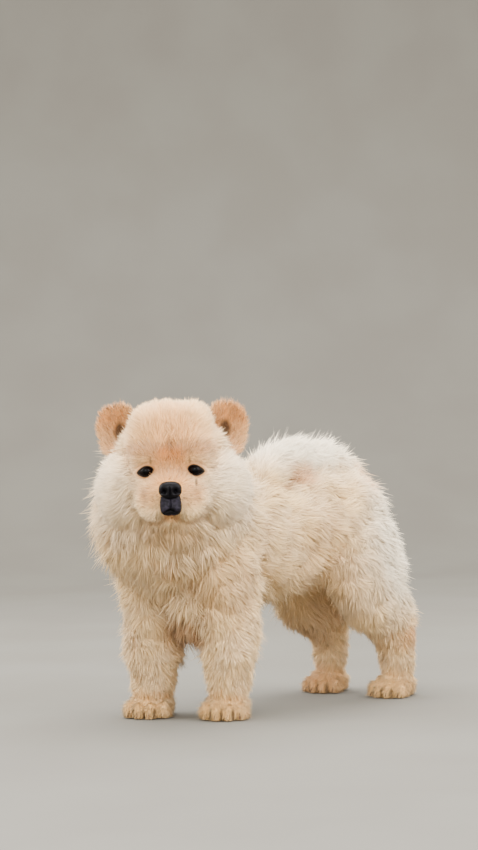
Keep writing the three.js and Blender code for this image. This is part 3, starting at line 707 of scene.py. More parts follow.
# %% [markdown]
# ## Clumps
# Plush is never even. It gathers in soft clumps, as wide as two or three fingers, with
# creases between them. A clump is the height |n| of a slow wave field n, which is zero
# along the creases, and the skin is moved in or out by it, so that the hair above follows.

# %% Clumps in the plush
waves = np.random.default_rng(11)
WAVES = 30
wave_way = unit(waves.normal(0, 1, (WAVES, 3))) * [1.0, 0.9, 0.62]
wave_length, wave_start = waves.uniform(24, 58, WAVES), waves.uniform(0, 2 * math.pi, WAVES)


def clump_height(p):
    """About -0.6 in a crease and +0.7 on a clump: |n| - 0.6 with the sum of cosines
    n = sum(cos(2 pi p . way / length + start)) / sqrt(count / 2)."""
    turns = p @ (2 * math.pi * wave_way / wave_length[:, None]).T + wave_start
    return np.minimum(np.abs(np.cos(turns).sum(1)) / math.sqrt(WAVES / 2), 1.4) - 0.6


def swirl(p):
    """An angle that wanders between about -1 and 1 radian from one clump to the next: a
    sum of sines of the same waves, at two thirds of their length."""
    turns = p @ (3 * math.pi * wave_way / wave_length[:, None]).T + 2 * wave_start
    return 0.8 * np.sin(turns).sum(1) / math.sqrt(WAVES / 2)


swell = clump_height(skin_at.astype(float)) * (skin_share @ COAT_TABLE[:, 5])
moved = skin_at + skin_out * swell[:, None]
moved[:, 2] = np.maximum(moved[:, 2], 0)
skin.data.vertices.foreach_set("co", to_frame(moved).astype(np.float32).ravel())
skin.data.update()
skin_at = moved
skin_out = unit(stored(skin.data.vertices, "normal", 3).astype(float))
print("clumps from", swell.min().round(1), "to", swell.max().round(1), "mm")

# %% [markdown]
# ## Sowing the tufts
# The roots are drawn at random over the skin's triangles, more of them where the coat is
# fine. A triangle's chance is its area times the number of tufts per square millimetre
# there. No tuft grows on the eyes, the nose leather or the lips, and few in the ears.

# %% Roots
rng = np.random.default_rng(7)
COAT_TRIANGLES = 1_480_000  # a straight tuft has 4 of them and a bent one 10


def keep_bare(p):
    """True where no hair grows: the eye openings, most of the ears' passages, the nose
    leather, the dark lips and what lies on the floor."""
    q = in_head(p)
    bare = np.zeros(len(p), bool)
    for sign in (1, -1):
        out, up = eye_place(q, sign)
        bare |= (np.hypot(out, up) < 1.18) & (q[:, 1] > 30)
        passage = (q[:, [0, 2]] * [sign, 1] - PASSAGE_AT) / PASSAGE_HALF
        passage = np.hypot(passage[:, 0], passage[:, 1])
        sparse = rng.random(len(p)) < 0.7  # a few hairs still cross the passage
        bare |= (passage < 1) & (q[:, 1] > -30) & (q[:, 1] < 8) & sparse
    muzzle = q[:, 1] > 62
    bare |= muzzle & (np.hypot(q[:, 0] / 12, (q[:, 2] + 30) / 9) < 1)
    bare |= muzzle & (np.abs(q[:, 0]) < 8.4) & (np.abs(q[:, 2] + 46) < 9.6)
    return bare | (p[:, 2] < 1.0)


corner = skin_at[tri_points].astype(float)
area = np.linalg.norm(np.cross(corner[:, 1] - corner[:, 0], corner[:, 2] - corner[:, 0]), axis=1) / 2
dense, bent = (skin_share[tri_points] @ COAT_TABLE[:, [3, 4]]).mean(1).T
wanted = area * dense
wanted *= COAT_TRIANGLES / (wanted * (4 + 6 * bent)).sum()
TUFTS = int(wanted.sum())
chosen = rng.choice(len(wanted), TUFTS, p=wanted / wanted.sum())
side_a, side_b = np.sqrt(rng.random(TUFTS)), rng.random(TUFTS)
weight = np.stack([1 - side_a, side_a * (1 - side_b), side_a * side_b], 1)


def at_roots(values, index=tri_points):
    """Values of the skin's points, or of its loops, mixed at the roots."""
    return (values[index[chosen]] * weight[..., None]).sum(1)


root = at_roots(skin_at.astype(float))
keep = ~keep_bare(root)
out = unit(at_roots(skin_out))
share = at_roots(skin_share)
lie = at_roots(skin_lie)
spot = at_roots(skin_map.astype(float), tri_loops)
root, out, share, lie, spot = (v[keep] for v in (root, out, share, lie, spot))
print("tufts:", len(root), "of", TUFTS, "on", round(area.sum() / 1e6, 3), "square metres")

# %% [markdown]
# ## The shape of a tuft
# Hairs cling together in tufts, and tufts in locks. A tuft starts inside the skin, rises,
# bends over into the lie, and narrows to a tip. Its section is a flat triangle with the
# ridge outside, so three sides and a few rings are enough.
# To gather tufts into locks, each one leans towards the tip of the nearest lock centre.

# %% Paths of the tufts
WISPS, LOCK_SPACING, LOCK_PULL = 0.07, 9.0, 0.3


def share_of(*names):
    """What each tuft has of these parts, added up."""
    return share[:, [PARTS.index(name) for name in names]].sum(1)


lie = lie - (lie * out).sum(1, keepdims=True) * out
lie = unit(lie + 1e-6)
turn = np.clip(swirl(root), -1.1, 1.1) * np.minimum(share @ COAT_TABLE[:, 5] / 4, 1) * 0.7
lie = lie * np.cos(turn)[:, None] + np.cross(out, lie) * np.sin(turn)[:, None]
reach, rise, width, _, bends, _ = (share @ COAT_TABLE).T
q_root = in_head(root)
crown = ease(q_root[:, 2], 8, 34) * share_of("head", "face")
reach, rise = reach * (1 - 0.2 * crown), rise * (1 - 0.15 * crown)
for sign in (1, -1):
    opened, up = eye_place(q_root, sign)
    close = (1 - ease(np.hypot(opened, up), 1.1, 2.6)) * (q_root[:, 1] > 30)
    reach, rise = reach * (1 - 0.45 * close), rise * (1 - 0.6 * close)
    outward_way = unit(np.stack([opened * sign, 0 * up, up], 1)) @ HEAD_AXES
    outward_way = outward_way - (outward_way * out).sum(1, keepdims=True) * out
    lie = unit(blend(lie, unit(outward_way + 1e-6), 0.8 * close[:, None]))
across = unit(np.cross(lie, out))
size = np.clip(rng.normal(1, 0.16, len(root)), 0.6, 1.35)
wisp = np.where(root[:, 1] < 150, 1.6, 1.35) - 0.35 * share_of("head")
size = np.where(rng.random(len(root)) < WISPS, wisp, size)
size = size * (1 - 0.25 * ease(root[:, 0], 98, 110))
reach, rise = reach * size, rise * size
sway = rng.normal(0, 0.16, len(root)) * reach
lift = np.clip(rng.normal(1, 0.22, len(root)), 0.45, 1.5)
tip = root + lie * reach[:, None] + out * (rise * lift)[:, None] + across * sway[:, None]

centres = rng.random(len(root)) < 1.2 * area.sum() / (len(root) * LOCK_SPACING**2)
tree = KDTree(int(centres.sum()))
for k, p in enumerate(root[centres]):
    tree.insert(Vector(p), k)
tree.balance()
nearest = np.array([tree.find(Vector(p))[1] for p in root])
lean_to = tip[centres][nearest]
pull = LOCK_PULL * (1 - share_of("face")) * (1 - share_of("paw"))
pull = pull * (np.linalg.norm(lean_to - tip, axis=1) < 1.5 * LOCK_SPACING)
tip = blend(tip, lean_to, pull[:, None])
tip[:, 2] = np.maximum(tip[:, 2], 1.0)
print("locks:", int(centres.sum()))

# %% [markdown]
# ## Solid tufts, in a few large pieces
# The path of a tuft is a bend: the part along the lie grows as the square of the way
# along it, and the part away from the skin as its square root, so the hair leaves the skin
# steeply and its end lies down. Most tufts are short enough to be straight: one ring and
# a tip.
# Light in a coat comes from all round and through the hair, so a coat shades like the form
# it covers and not like thousands of facets. Each tuft therefore takes its shading from
# the skin under it, and turns it only a little to its own two sides.
# All tufts of a part become a few meshes, each below two hundred thousand triangles.

# %% Building the coat
FLARE = {2: [0.8, 0.85], 1: [1.0]}  # the widths of a tuft's rings, as shares
PATCH_WIDE, PATCH_LONG = 0.0026, 0.0028  # a tuft's spot on the skin's map
MOST = {2: 18000, 1: 45000}  # tufts in one piece, by their number of rings


def tuft_arrays(which, rings):
    """Points, triangles, map places and the share of the way along, for these tufts.
    Ring i is at s = i / rings; its points are the path's point plus the half-width to each
    side and, for the ridge, 0.55 of it outwards; the last point is the tip."""
    n = len(which)
    s = np.arange(rings) / rings
    to_tip = tip[which] - root[which]
    height = (to_tip * out[which]).sum(1)
    along = to_tip - height[:, None] * out[which]
    path = (
        root[which][:, None]
        + along[:, None] * (s**1.45)[None, :, None]
        + (out[which] * height[:, None])[:, None] * (s**0.75)[None, :, None]
    )
    sunk = np.minimum(2.5, 0.6 * width[which] + 0.6)
    path[:, 0] -= out[which] * sunk[:, None]
    half = 0.5 * width[which][:, None] * np.array(FLARE[rings])[None]
    side = across[which][:, None] * half[..., None]
    ridge = out[which][:, None] * half[..., None]
    rows = np.stack([path - side - 0.25 * ridge, path + side - 0.25 * ridge, path + 0.85 * ridge], 2)
    points = np.concatenate([rows.reshape(n, rings * 3, 3), tip[which][:, None]], 1)
    faces = [(0, 2, 1)]
    for i in range(rings - 1):
        for j in range(3):
            a, b = 3 * i + j, 3 * i + (j + 1) % 3
            faces += [(a, b, b + 3), (a, b + 3, a + 3)]
    last, top = 3 * (rings - 1), 3 * rings
    faces += [(last + j, last + (j + 1) % 3, top) for j in range(3)]
    per = 3 * rings + 1
    triangles = (np.array(faces)[None] + (np.arange(n) * per)[:, None, None]).reshape(-1, 3)
    way = np.append(np.repeat(s, 3), 1.0)
    step = np.append(np.tile([-0.5, 0.5, 0.0], rings), 0.0)
    patch = np.stack([step * PATCH_WIDE, (way - 0.5) * PATCH_LONG], 1)
    place = spot[which][:, None] + patch[None]
    turned = np.append(np.tile([-1.0, 1.0, 0.0], rings), 0.0)[None, :, None]
    own = own_shade[which][:, None, None]
    shade = out[which][:, None] + own * turned * across[which][:, None]
    shade = shade + 0.25 * way[None, :, None] * lie[which][:, None]
    shade = unit(shade + 0.45 * own * tilt[which][:, None])
    return points.reshape(-1, 3), triangles, place.reshape(-1, 2), np.tile(way, n), shade


short = share_of("face", "ear", "paw", "shank")
own_shade = blend(0.45, 1.1, short)  # how far a tuft's sides turn from the skin's direction
tilt = rng.normal(0, 1, (len(root), 3))
lock_tone = rng.normal(0, 0.03, len(lean_to))[nearest]
tone = 1 + lock_tone + rng.uniform(-1, 1, len(root)) * blend(0.07, 0.17, short)


def coat_piece(name, which, rings):
    """One mesh of tufts with its map, its shading directions and two values: the way along
    and the tuft's tone."""
    points, triangles, place, way, shade = tuft_arrays(which, rings)
    triangles = outward(points, triangles)
    made = mesh_of(name, to_frame(points), triangles)
    layer = made.uv_layers.new(name="OFBake")
    layer.data.foreach_set("uv", place[triangles.ravel()].astype(np.float32).ravel())
    for label, values in (("along", way), ("tone", np.repeat(tone[which], 3 * rings + 1))):
        made.attributes.new(label, "FLOAT", "POINT").data.foreach_set(
            "value", values.astype(np.float32)
        )
    made.attributes.new("custom_normal", "FLOAT_VECTOR", "POINT").data.foreach_set(
        "vector", shade.astype(np.float32).ravel()
    )
    return piece(name, made)


GROUPS = {
    "torso": ["trunk"], "ruff": ["neck"], "tail": ["tail"], "forelegs": ["foreleg"],
    "hindlegs": ["hindleg"], "head": ["head"], "face": ["face"], "ears": ["ear"],
    "feet": ["paw", "shank"],
}
main_part = share.argmax(1)
bending = rng.random(len(root)) < bends
coat_pieces = []
triangle_count = 0
for group, names in GROUPS.items():
    of_part = np.isin(main_part, [PARTS.index(n) for n in names])
    for kind, rings in (("bent", 2), ("fine", 1)):
        mine = np.flatnonzero(of_part & (bending == (kind == "bent")))
        count = -(-len(mine) // MOST[rings])
        for k, which in enumerate(np.array_split(mine, count) if count else []):
            made = coat_piece(f"coat_{group}_{kind}_{k + 1}", which, rings)
            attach(made, "root")
            coat_pieces.append(made)
            triangle_count += len(made.data.polygons)
            print(made.name, len(made.data.polygons), "triangles")
print("coat:", triangle_count, "triangles in", len(coat_pieces), "pieces")

# %% [markdown]
# ## Eyes
# A chow's eyes are small, deep-set and almost black. Each one is a ball with a slightly
# steeper window in front, the cornea, seated in the skull and looking ahead.

# %% Eyes
EYE_AHEAD = 50.0


def ways_ahead(rows, around):
    """Directions on a grid of rings round the way ahead: (sin b cos a, cos b, sin b sin a)."""
    b = np.linspace(0, math.pi, rows)[:, None]
    a = np.linspace(0, 2 * math.pi, around, endpoint=False)[None]
    return np.stack([np.sin(b) * np.cos(a), np.cos(b) + 0 * a, np.sin(b) * np.sin(a)], -1)


def eye_ball(sign):
    """A ball of radius r whose front bulges by 0.9 mm where cos(angle to the front) is
    over 0.8, as a cornea does."""
    way = ways_ahead(40, 48)
    r = EYE_RADIUS + 0.9 * ease(way[..., 1:2], 0.8, 1.0)
    return closed_grid(on_head(way * r + [sign * EYE_SPACING / 2, EYE_AHEAD, EYE_UP]))


eyes = {
    side: dressed("eyeball_" + side, eye_ball(sign), "eye_" + side)
    for sign, side in ((1, "left"), (-1, "right"))
}

# %% [markdown]
# ## Lids
# The lids are thin folds of skin that leave an almond of the eye free, highest near its
# inner corner. Their edge is dark and lies on the eyeball, and further out they are brown
# and run into the face. One closed ring for
# each eye has such a fold as its section: a long flat oval whose inner end touches the
# ball and whose outer end sinks into the skin.

# %% Lids


def almond(a, grow):
    """The opening's edge at angle a, grown outwards by a distance: outwards cos(a),
    upwards sin(a) to the power 1.15 and less so towards the outer corner, which is drawn
    out and down."""
    out_share = np.cos(a) * np.where(np.cos(a) > 0, 1.12, 0.98)
    up_share = np.sign(np.sin(a)) * np.abs(np.sin(a)) ** 1.15
    up_share = up_share * (1.06 - 0.42 * ease(out_share, -0.3, 1.2))
    x = (EYE_OPEN[0] + grow) * out_share
    return x, (EYE_OPEN[1] + grow) * up_share - 1.3 * out_share


def lid_ring(sign):
    """At each angle the section is an oval from the ball to the skin: middle + half the
    way out * cos(b) + thickness * sin(b). The upper lid is the thicker one."""
    around, section = 96, 20
    a = np.linspace(0, 2 * math.pi, around, endpoint=False)
    x, z = almond(a, 0.0)
    r = EYE_RADIUS + 0.25
    inner = np.stack([x * sign, np.sqrt(np.maximum(r * r - x * x - z * z, 9.0)), z], -1)
    inner += [sign * EYE_SPACING / 2, EYE_AHEAD, EYE_UP]
    x, z = almond(a, 5.5)
    x, z = x * sign + sign * EYE_SPACING / 2, z + EYE_UP
    outer = np.stack([x, face_front(x, z, 2.6), z], -1)
    middle, half = (inner + outer) / 2, (outer - inner) / 2
    along = np.roll(inner, -1, 0) - np.roll(inner, 1, 0)
    thick = unit(np.cross(along, half))
    thick *= np.where(thick[:, 1:2] > 0, 1, -1) * (1.0 + 0.7 * ease(np.sin(a), -0.3, 0.7))[:, None]
    b = np.linspace(0, 2 * math.pi, section, endpoint=False)
    grid = (
        middle[:, None]
        + half[:, None] * np.cos(b)[None, :, None]
        + thick[:, None] * np.sin(b)[None, :, None]
    )
    i, j = np.meshgrid(np.arange(around), np.arange(section), indexing="ij")
    p = lambda row, column: (row % around) * section + column % section
    quads = np.stack([p(i, j), p(i, j + 1), p(i + 1, j + 1), p(i + 1, j)], -1).reshape(-1, 4)
    points = on_head(grid.reshape(-1, 3))
    triangles = np.vstack([quads[:, [0, 1, 2]], quads[:, [0, 2, 3]]])
    return points, outward(points, triangles), np.tile((1 + np.cos(b)) / 2, around)


rings = [lid_ring(1), lid_ring(-1)]
lids = dressed("lids", gathered([ring[:2] for ring in rings]))
lids.data.attributes.new("edge", "FLOAT", "POINT").data.foreach_set(
    "value", np.concatenate([ring[2] for ring in rings]).astype(np.float32)
)
print("face at the eye:", face_front(np.array([26.5]), np.array([-9.0])).round(1))

# %% [markdown]
# ## Nose and lips
# The nose leather is a broad, rounded block with a groove down its middle and two
# comma-shaped nostrils that open to the front and curl to the sides. It is a grid over a
# rounded block, with the groove and nostrils pressed in as smooth dents.

# %% Nose leather
NOSE_AT, NOSE_HALF = np.array([0.0, 77.5, -30.2]), np.array([12.4, 9.0, 9.2])


def rounded_block(rows, around, square, half):
    """A ball grown towards a block: each direction over the sum of |way| to the power
    square, to the power 1 / square, times the half-sizes."""
    way = ways_ahead(rows, around)
    size = (np.abs(way) ** square).sum(-1, keepdims=True) ** (1 / square)
    q = way / size * half
    return q[..., 0], q[..., 1], q[..., 2]


def nose_form():
    """A rounded block whose front has dents: each one takes depth * exp(-d^2), where d is
    the distance from the dent's middle line in its own sizes."""
    x, y, z = rounded_block(90, 120, 2.6, NOSE_HALF)
    front = ease(y, 0, 4)
    groove = 1.5 * np.exp(-((x / 0.9) ** 2)) * (1 - ease(z, -1, 5))
    hole = np.exp(-(((np.abs(x) - 6.0 - 0.15 * z) / 2.3) ** 2) - ((z + 1.6) / 2.5) ** 2)
    curl = np.exp(-(((np.abs(x) - 9.6) / 2.4) ** 2) - ((z + 3.4) / 1.2) ** 2)
    narrow = 1 - 0.05 * ease(-z, 2, 9)
    y = y - front * (groove + 4.6 * hole + 2.4 * curl)
    z = z - 0.8 * ease(-z, 3, 9) * np.exp(-((x / 5) ** 2))
    return closed_grid(on_head(NOSE_AT + np.stack([x * narrow, y, z], -1)))


nose = dressed("nose_leather", nose_form(), "nose")

# %% [markdown]
# The upper lips hang as two soft pads under the nose, parted by a groove, and the mouth is
# the shadow between them and the lower lip. The blue-black colour of lips and tongue is
# the breed's own.

# %% Lips
LIPS_AT, LIPS_HALF = np.array([0.0, 73.2, -45.6]), np.array([11.5, 7.0, 12.2])


def lips_form():
    """A rounded block with a groove down the middle of its upper part and a mouth line,
    z = -6 - 0.4 * |x|, pressed in as a valley, with the lower lip set back."""
    x, y, z = rounded_block(100, 120, 3.4, LIPS_HALF)
    front = ease(y, -1, 3)
    line = z + 6.0 + 0.40 * np.abs(x)
    groove = 1.3 * np.exp(-((x / 1.0) ** 2)) * ease(line, 0, 2)
    mouth = 2.6 * np.exp(-((line / 0.9) ** 2))
    lower = 1.3 * (1 - ease(line, -1.5, 0))
    pads = 0.9 * np.exp(-(((np.abs(x) - 5.5) / 4) ** 2) - ((line - 4) / 4) ** 2)
    y = y - front * (groove + mouth + lower - pads)
    return closed_grid(on_head(LIPS_AT + np.stack([x, y, z], -1)))


lips = dressed("lip_leather", lips_form(), "lips")

# %% [markdown]
# ## Claws
# A claw is a horn that curves down and narrows to a blunt point: a shrinking round section
# carried along a short arc. Only its end shows out of the toe's fur.

# %% Claws


def claw_form(name, right, front):
    """The arc goes ahead by 11 sin(s) and down by 5 (1 - cos(s)) from the toe's end."""
    _, yaw, scale = PAWS[name]
    s = np.linspace(0, 1, 12)
    splay = yaw + right * 0.32
    ahead_way = np.array([math.sin(splay), -math.cos(splay), 0.0])
    start = paw_spot(name, right * PAW_WIDTH / 2, front * PAW_LENGTH / 2 + 7.5, 10.5)
    bend = s * 1.25
    line = start + scale * (
        ahead_way * (6.4 * np.sin(bend))[:, None] - [0, 0, 1] * (8.5 * (1 - np.cos(bend)))[:, None]
    )
    step = unit(np.gradient(line, axis=0))
    side = np.array([math.cos(splay), math.sin(splay), 0.0])[None] + 0 * step
    tall = np.cross(step, side)
    radius = scale * (1.7 * (1 - 0.75 * s**1.6))
    radius[[0, -1]] = 0
    turn = np.linspace(0, 2 * math.pi, 12, endpoint=False)
    grid = line[:, None] + radius[:, None, None] * (
        side[:, None] * np.cos(turn)[None, :, None] * 0.8
        + tall[:, None] * np.sin(turn)[None, :, None]
    )
    grid[..., 2] = np.maximum(grid[..., 2], 0.2)
    return closed_grid(grid)


claw_forms = [claw_form(name, right, front) for name in PAWS for right, front in TOES]
claws = dressed("claws", gathered(claw_forms))
print("claws:", len(claws.data.polygons), "triangles")

# %% [markdown]
# ## Colour by place
# The same markings are on the skin and on the hair above it: one set of soft patches,
# placed in millimetres on the body or in the head's own axes. A patch is an ellipsoid
# with a soft edge, and noise moves its edge about, so that it looks grown.

# %% Node helpers


def linear(red, green, blue):
    """A screen colour, 0 to 255, as the linear values that light is computed with."""
    c = np.array([red, green, blue]) / 255
    return (*np.where(c <= 0.04045, c / 12.92, ((c + 0.055) / 1.055) ** 2.4), 1.0)


class Paint:
    """Builds a material's colour out of nodes, from the object's own coordinates."""

    def __init__(self, name):
        self.material = bpy.data.materials.new(name)
        self.material.use_nodes = True
        self.tree = self.material.node_tree
        self.shader = self.tree.nodes["Principled BSDF"]
        self.place = self.node("ShaderNodeTexCoord").outputs["Object"]
        # exact: millimetres. body: the same, moved about by up to 7 mm by a slow noise
        self.exact = self.maths("MULTIPLY_ADD", self.place, (1 / MM,) * 3, tuple(-SHIFT / MM))
        wander = self.node("ShaderNodeTexNoise")
        wander.inputs["Scale"].default_value = 0.05
        wander.inputs["Detail"].default_value = 2
        self.link(self.exact, wander.inputs["Vector"])
        moved = self.maths("MULTIPLY_ADD", wander.outputs["Color"], (14,) * 3, self.exact)
        self.body = self.maths("ADD", moved, (-7,) * 3)
        # head: the head's own axes. face: the same with both sides folded onto one
        self.head = self.maths("MULTIPLY", self.seen_from(SKULL, HEAD_TURN), (1, -1, 1))
        up_only = self.maths("MULTIPLY", self.head, (0, 1, 1))
        folded = self.maths("ABSOLUTE", self.head)
        self.face = self.maths("MULTIPLY_ADD", folded, (1, 0, 0), up_only)

    def node(self, kind):
        return self.tree.nodes.new(kind)

    def link(self, source, socket):
        self.tree.links.new(source, socket)

    def put(self, value, socket):
        """Sets a number or a colour on a socket, and links an output to it."""
        if isinstance(value, (float, tuple)):
            socket.default_value = value
        else:
            self.link(value, socket)

    def maths(self, operation, *inputs, result=0):
        """A vector-maths node. Numbers are set on its sockets and outputs are linked."""
        node = self.node("ShaderNodeVectorMath")
        node.operation = operation
        for socket, value in zip(node.inputs, inputs):
            self.put(value, socket)
        return node.outputs[result]

    def seen_from(self, middle, yaw):
        """The place measured from a point, on axes turned by yaw about the upright."""
        turned = self.node("ShaderNodeMapping")
        turned.inputs["Rotation"].default_value = (0, 0, -yaw)
        off = self.maths("SUBTRACT", self.exact, tuple(float(v) for v in middle))
        self.link(off, turned.inputs["Vector"])
        return turned.outputs["Vector"]

    def scaled(self, value, low, high, to_low=0.0, to_high=1.0):
        """A value from low..high carried to another range along an S curve."""
        node = self.node("ShaderNodeMapRange")
        node.interpolation_type = "SMOOTHSTEP"
        for socket, number in zip(list(node.inputs)[1:5], (low, high, to_low, to_high)):
            socket.default_value = number
        self.link(value, node.inputs[0])
        return node.outputs[0]

    def patch(self, where, middle, half, soft=0.35):
        """1 inside an ellipsoid, falling to 0 across its edge."""
        away = self.maths("DIVIDE", self.maths("SUBTRACT", where, middle), half)
        length = self.maths("LENGTH", away, result=1)
        return self.scaled(length, 1 - soft, 1 + soft, 1.0, 0.0)

    def rim(self, where, middle, half, soft=0.12):
        """1 on the surface of an ellipsoid, falling to 0 on both sides of it."""
        away = self.maths("DIVIDE", self.maths("SUBTRACT", where, middle), half)
        length = self.maths("LENGTH", away, result=1)
        inner = self.scaled(length, 1 - soft, 1, 0.0, 1.0)
        return self.times(inner, self.scaled(length, 1, 1 + soft, 1.0, 0.0))

    def noise(self, scale, detail=3, stretch=None):
        """Noise over the body, with a scale in turns per millimetre."""
        node = self.node("ShaderNodeTexNoise")
        node.inputs["Scale"].default_value = scale
        node.inputs["Detail"].default_value = detail
        where = self.maths("MULTIPLY", self.body, stretch) if stretch else self.body
        self.link(where, node.inputs["Vector"])
        return node.outputs["Fac"]

    def mix(self, factor, first, second):
        """Between two colours, or a colour and a socket, by a factor."""
        node = self.node("ShaderNodeMix")
        node.data_type = "RGBA"
        for index, value in ((0, factor), (6, first), (7, second)):
            self.put(value, node.inputs[index])
        return node.outputs[2]

    def times(self, value, other):
        """A value times a number or another value."""
        node = self.node("ShaderNodeMath")
        node.operation = "MULTIPLY"
        self.link(value, node.inputs[0])
        self.put(other, node.inputs[1])
        return node.outputs[0]

    def attribute(self, name):
        """A value stored on the mesh's points."""
        node = self.node("ShaderNodeAttribute")
        node.attribute_name = name
        return node.outputs["Fac"]


# %% [markdown]
# ## The coat's markings
# The coat is cream. It is nearly white on the tail, the rump and the cheeks' edges, warmer
# on the brow, the muzzle and the ears, and golden on the toes. It is painted darker on the
# chest, the belly and the inner sides of the legs, where the hair lies in its own shade: this
# is painted shade, as are the dark lines in the coat's creases and folds, in the ears'
# openings and between the toes.

# %% Coat colours
CREAM, PALE, SAND = linear(250, 211, 152), linear(255, 240, 212), linear(226, 178, 120)
PEACH, RUST, SHADE = linear(228, 158, 88), linear(200, 122, 54), linear(196, 160, 112)
# the third colour, a near-black brown, is painted shade in folds, creases, the ears' openings and
# between the toes, and the colour of one tear stain
TAWNY, GOLD, DARK_SHADE_AND_STAIN = linear(168, 118, 76), linear(238, 184, 108), linear(44, 28, 22)
BLACK_EDGE, MOUTH_SHADE_BLACK = linear(14, 9, 9), linear(3, 2, 3)

# space, middle, half-sizes, softness, colour, strength
# in the head's space both sides are painted alike, at +x and at -x, but "left" is one side
MARKINGS = [
    ("body", (0, 60, 325), (90, 110, 60), 0.4, PALE, 0.9),
    ("body", (20, 190, 225), (90, 64, 90), 0.5, PALE, 0.75),
    ("body", (4, 150, 256), (40, 22, 24), 0.5, PEACH, 0.5),
    ("body", (10, -150, 150), (60, 60, 75), 0.4, SHADE, 0.35),
    # painted shade on the left shoulder
    ("body", (66, -108, 150), (34, 42, 44), 0.5, SAND, 0.4),
    ("body", (40, -168, 176), (6, 24, 24), 0.7, RUST, 0.35),
    # painted shade under the chest, between the forelegs
    ("body", (8, -112, 92), (26, 40, 22), 0.5, TAWNY, 0.8),
    # under the tail's lower edge: the coat's own warmer colour together with painted shade of the
    # crease
    ("body", (36, 38, 270), (14, 26, 14), 0.6, RUST, 0.6),
    # painted shade: two dark lines in the crease between the tail and the back
    ("body", (36, 8, 257), (14, 12, 4.5), 0.6, TAWNY, 0.6),
    ("body", (36, 26, 265), (14, 12, 4.5), 0.6, TAWNY, 0.6),
    ("body", (0, 20, 110), (60, 150, 45), 0.4, SHADE, 0.15),
    # painted shade on the inner side of the right hind leg and the belly beside it
    ("body", (-40, 110, 96), (40, 46, 80), 0.4, TAWNY, 0.3),
    ("body", (56, 174, 72), (30, 30, 20), 0.6, RUST, 0.6),
    ("body", (64, 150, 164), (44, 50, 64), 0.5, PALE, 0.9),
    ("body", (58, 44, 165), (26, 34, 62), 0.6, SAND, 0.4),
    ("body", (50, -108, 4), (30, 32, 22), 0.5, GOLD, 0.75),
    ("body", (-33, -151, 4), (30, 32, 22), 0.5, GOLD, 0.75),
    ("body", (54, 148, 6), (30, 36, 22), 0.5, GOLD, 0.7),
    ("body", (-47, 133, 6), (30, 36, 22), 0.5, PEACH, 0.6),
    ("head", (66, -10, -24), (36, 70, 50), 0.7, PALE, 0.6),
    ("head", (0, 36, 24), (46, 50, 46), 0.6, PEACH, 0.85),
    ("head", (24, 50, 14), (30, 34, 9), 0.6, TAWNY, 0.8),
    ("head", (0, 60, 6), (14, 30, 12), 0.6, RUST, 0.85),
    # painted shade in the crease up the middle of the brow
    ("head", (0, 56, 17), (2.4, 40, 6), 0.6, TAWNY, 0.5),
    # painted shade in the folds above the eyes
    ("head", (21, 60, 0.5), (1.2, 30, 4), 0.6, DARK_SHADE_AND_STAIN, 0.5),
    ("head", (0, 70, -16), (20, 32, 20), 0.5, PEACH, 1.0),
    ("head", (0, 68, -13), (15, 30, 15), 0.6, TAWNY, 0.35),
    ("head", (20, 60, -34), (16, 26, 15), 0.7, PEACH, 0.65),
    # painted shade in the crease beside each side of the muzzle
    ("head", (29, 60, -38), (4.5, 26, 9), 0.7, TAWNY, 0.5),
    ("head", (0, 60, -60), (9, 26, 6), 0.5, PEACH, 0.6),
    # painted shade along the mouth's line, between each hanging lip and the chin
    ("head", (13, 66, -58.5), (3.5, 20, 5), 0.6, DARK_SHADE_AND_STAIN, 0.45),
    # painted shade under the chin and the jowls
    ("head", (0, 34, -82), (34, 40, 14), 0.5, TAWNY, 0.4),
    ("head", (62, -16, 36), (30, 26, 40), 0.25, PEACH, 0.7),
    ("head", (70, -14, 56), (26, 18, 20), 0.6, RUST, 0.55),
    # painted shade in the ear's opening
    ("head", (PASSAGE_AT[0], -12, PASSAGE_AT[1]), (6, 16, 10), 0.5, DARK_SHADE_AND_STAIN, 0.9),
    # brown fur round each eye, with painted shade of the hollow the eye lies in
    ("head", (26.5, 60, -9.5), (10.5, 14, 7.5), 0.3, TAWNY, 0.65),
    ("left", (27.5, 60, -23.5), (1.5, 20, 3.6), 0.5, DARK_SHADE_AND_STAIN, 0.7),
]
MUZZLE_RIM = ((19.5, 56, -47), (20, 60, 20), 0.2)  # the shade under the muzzle's sides
MUZZLE_FRONT = ((18, 70, -70), (34, 40, 22), 0.3)  # where that shade is seen


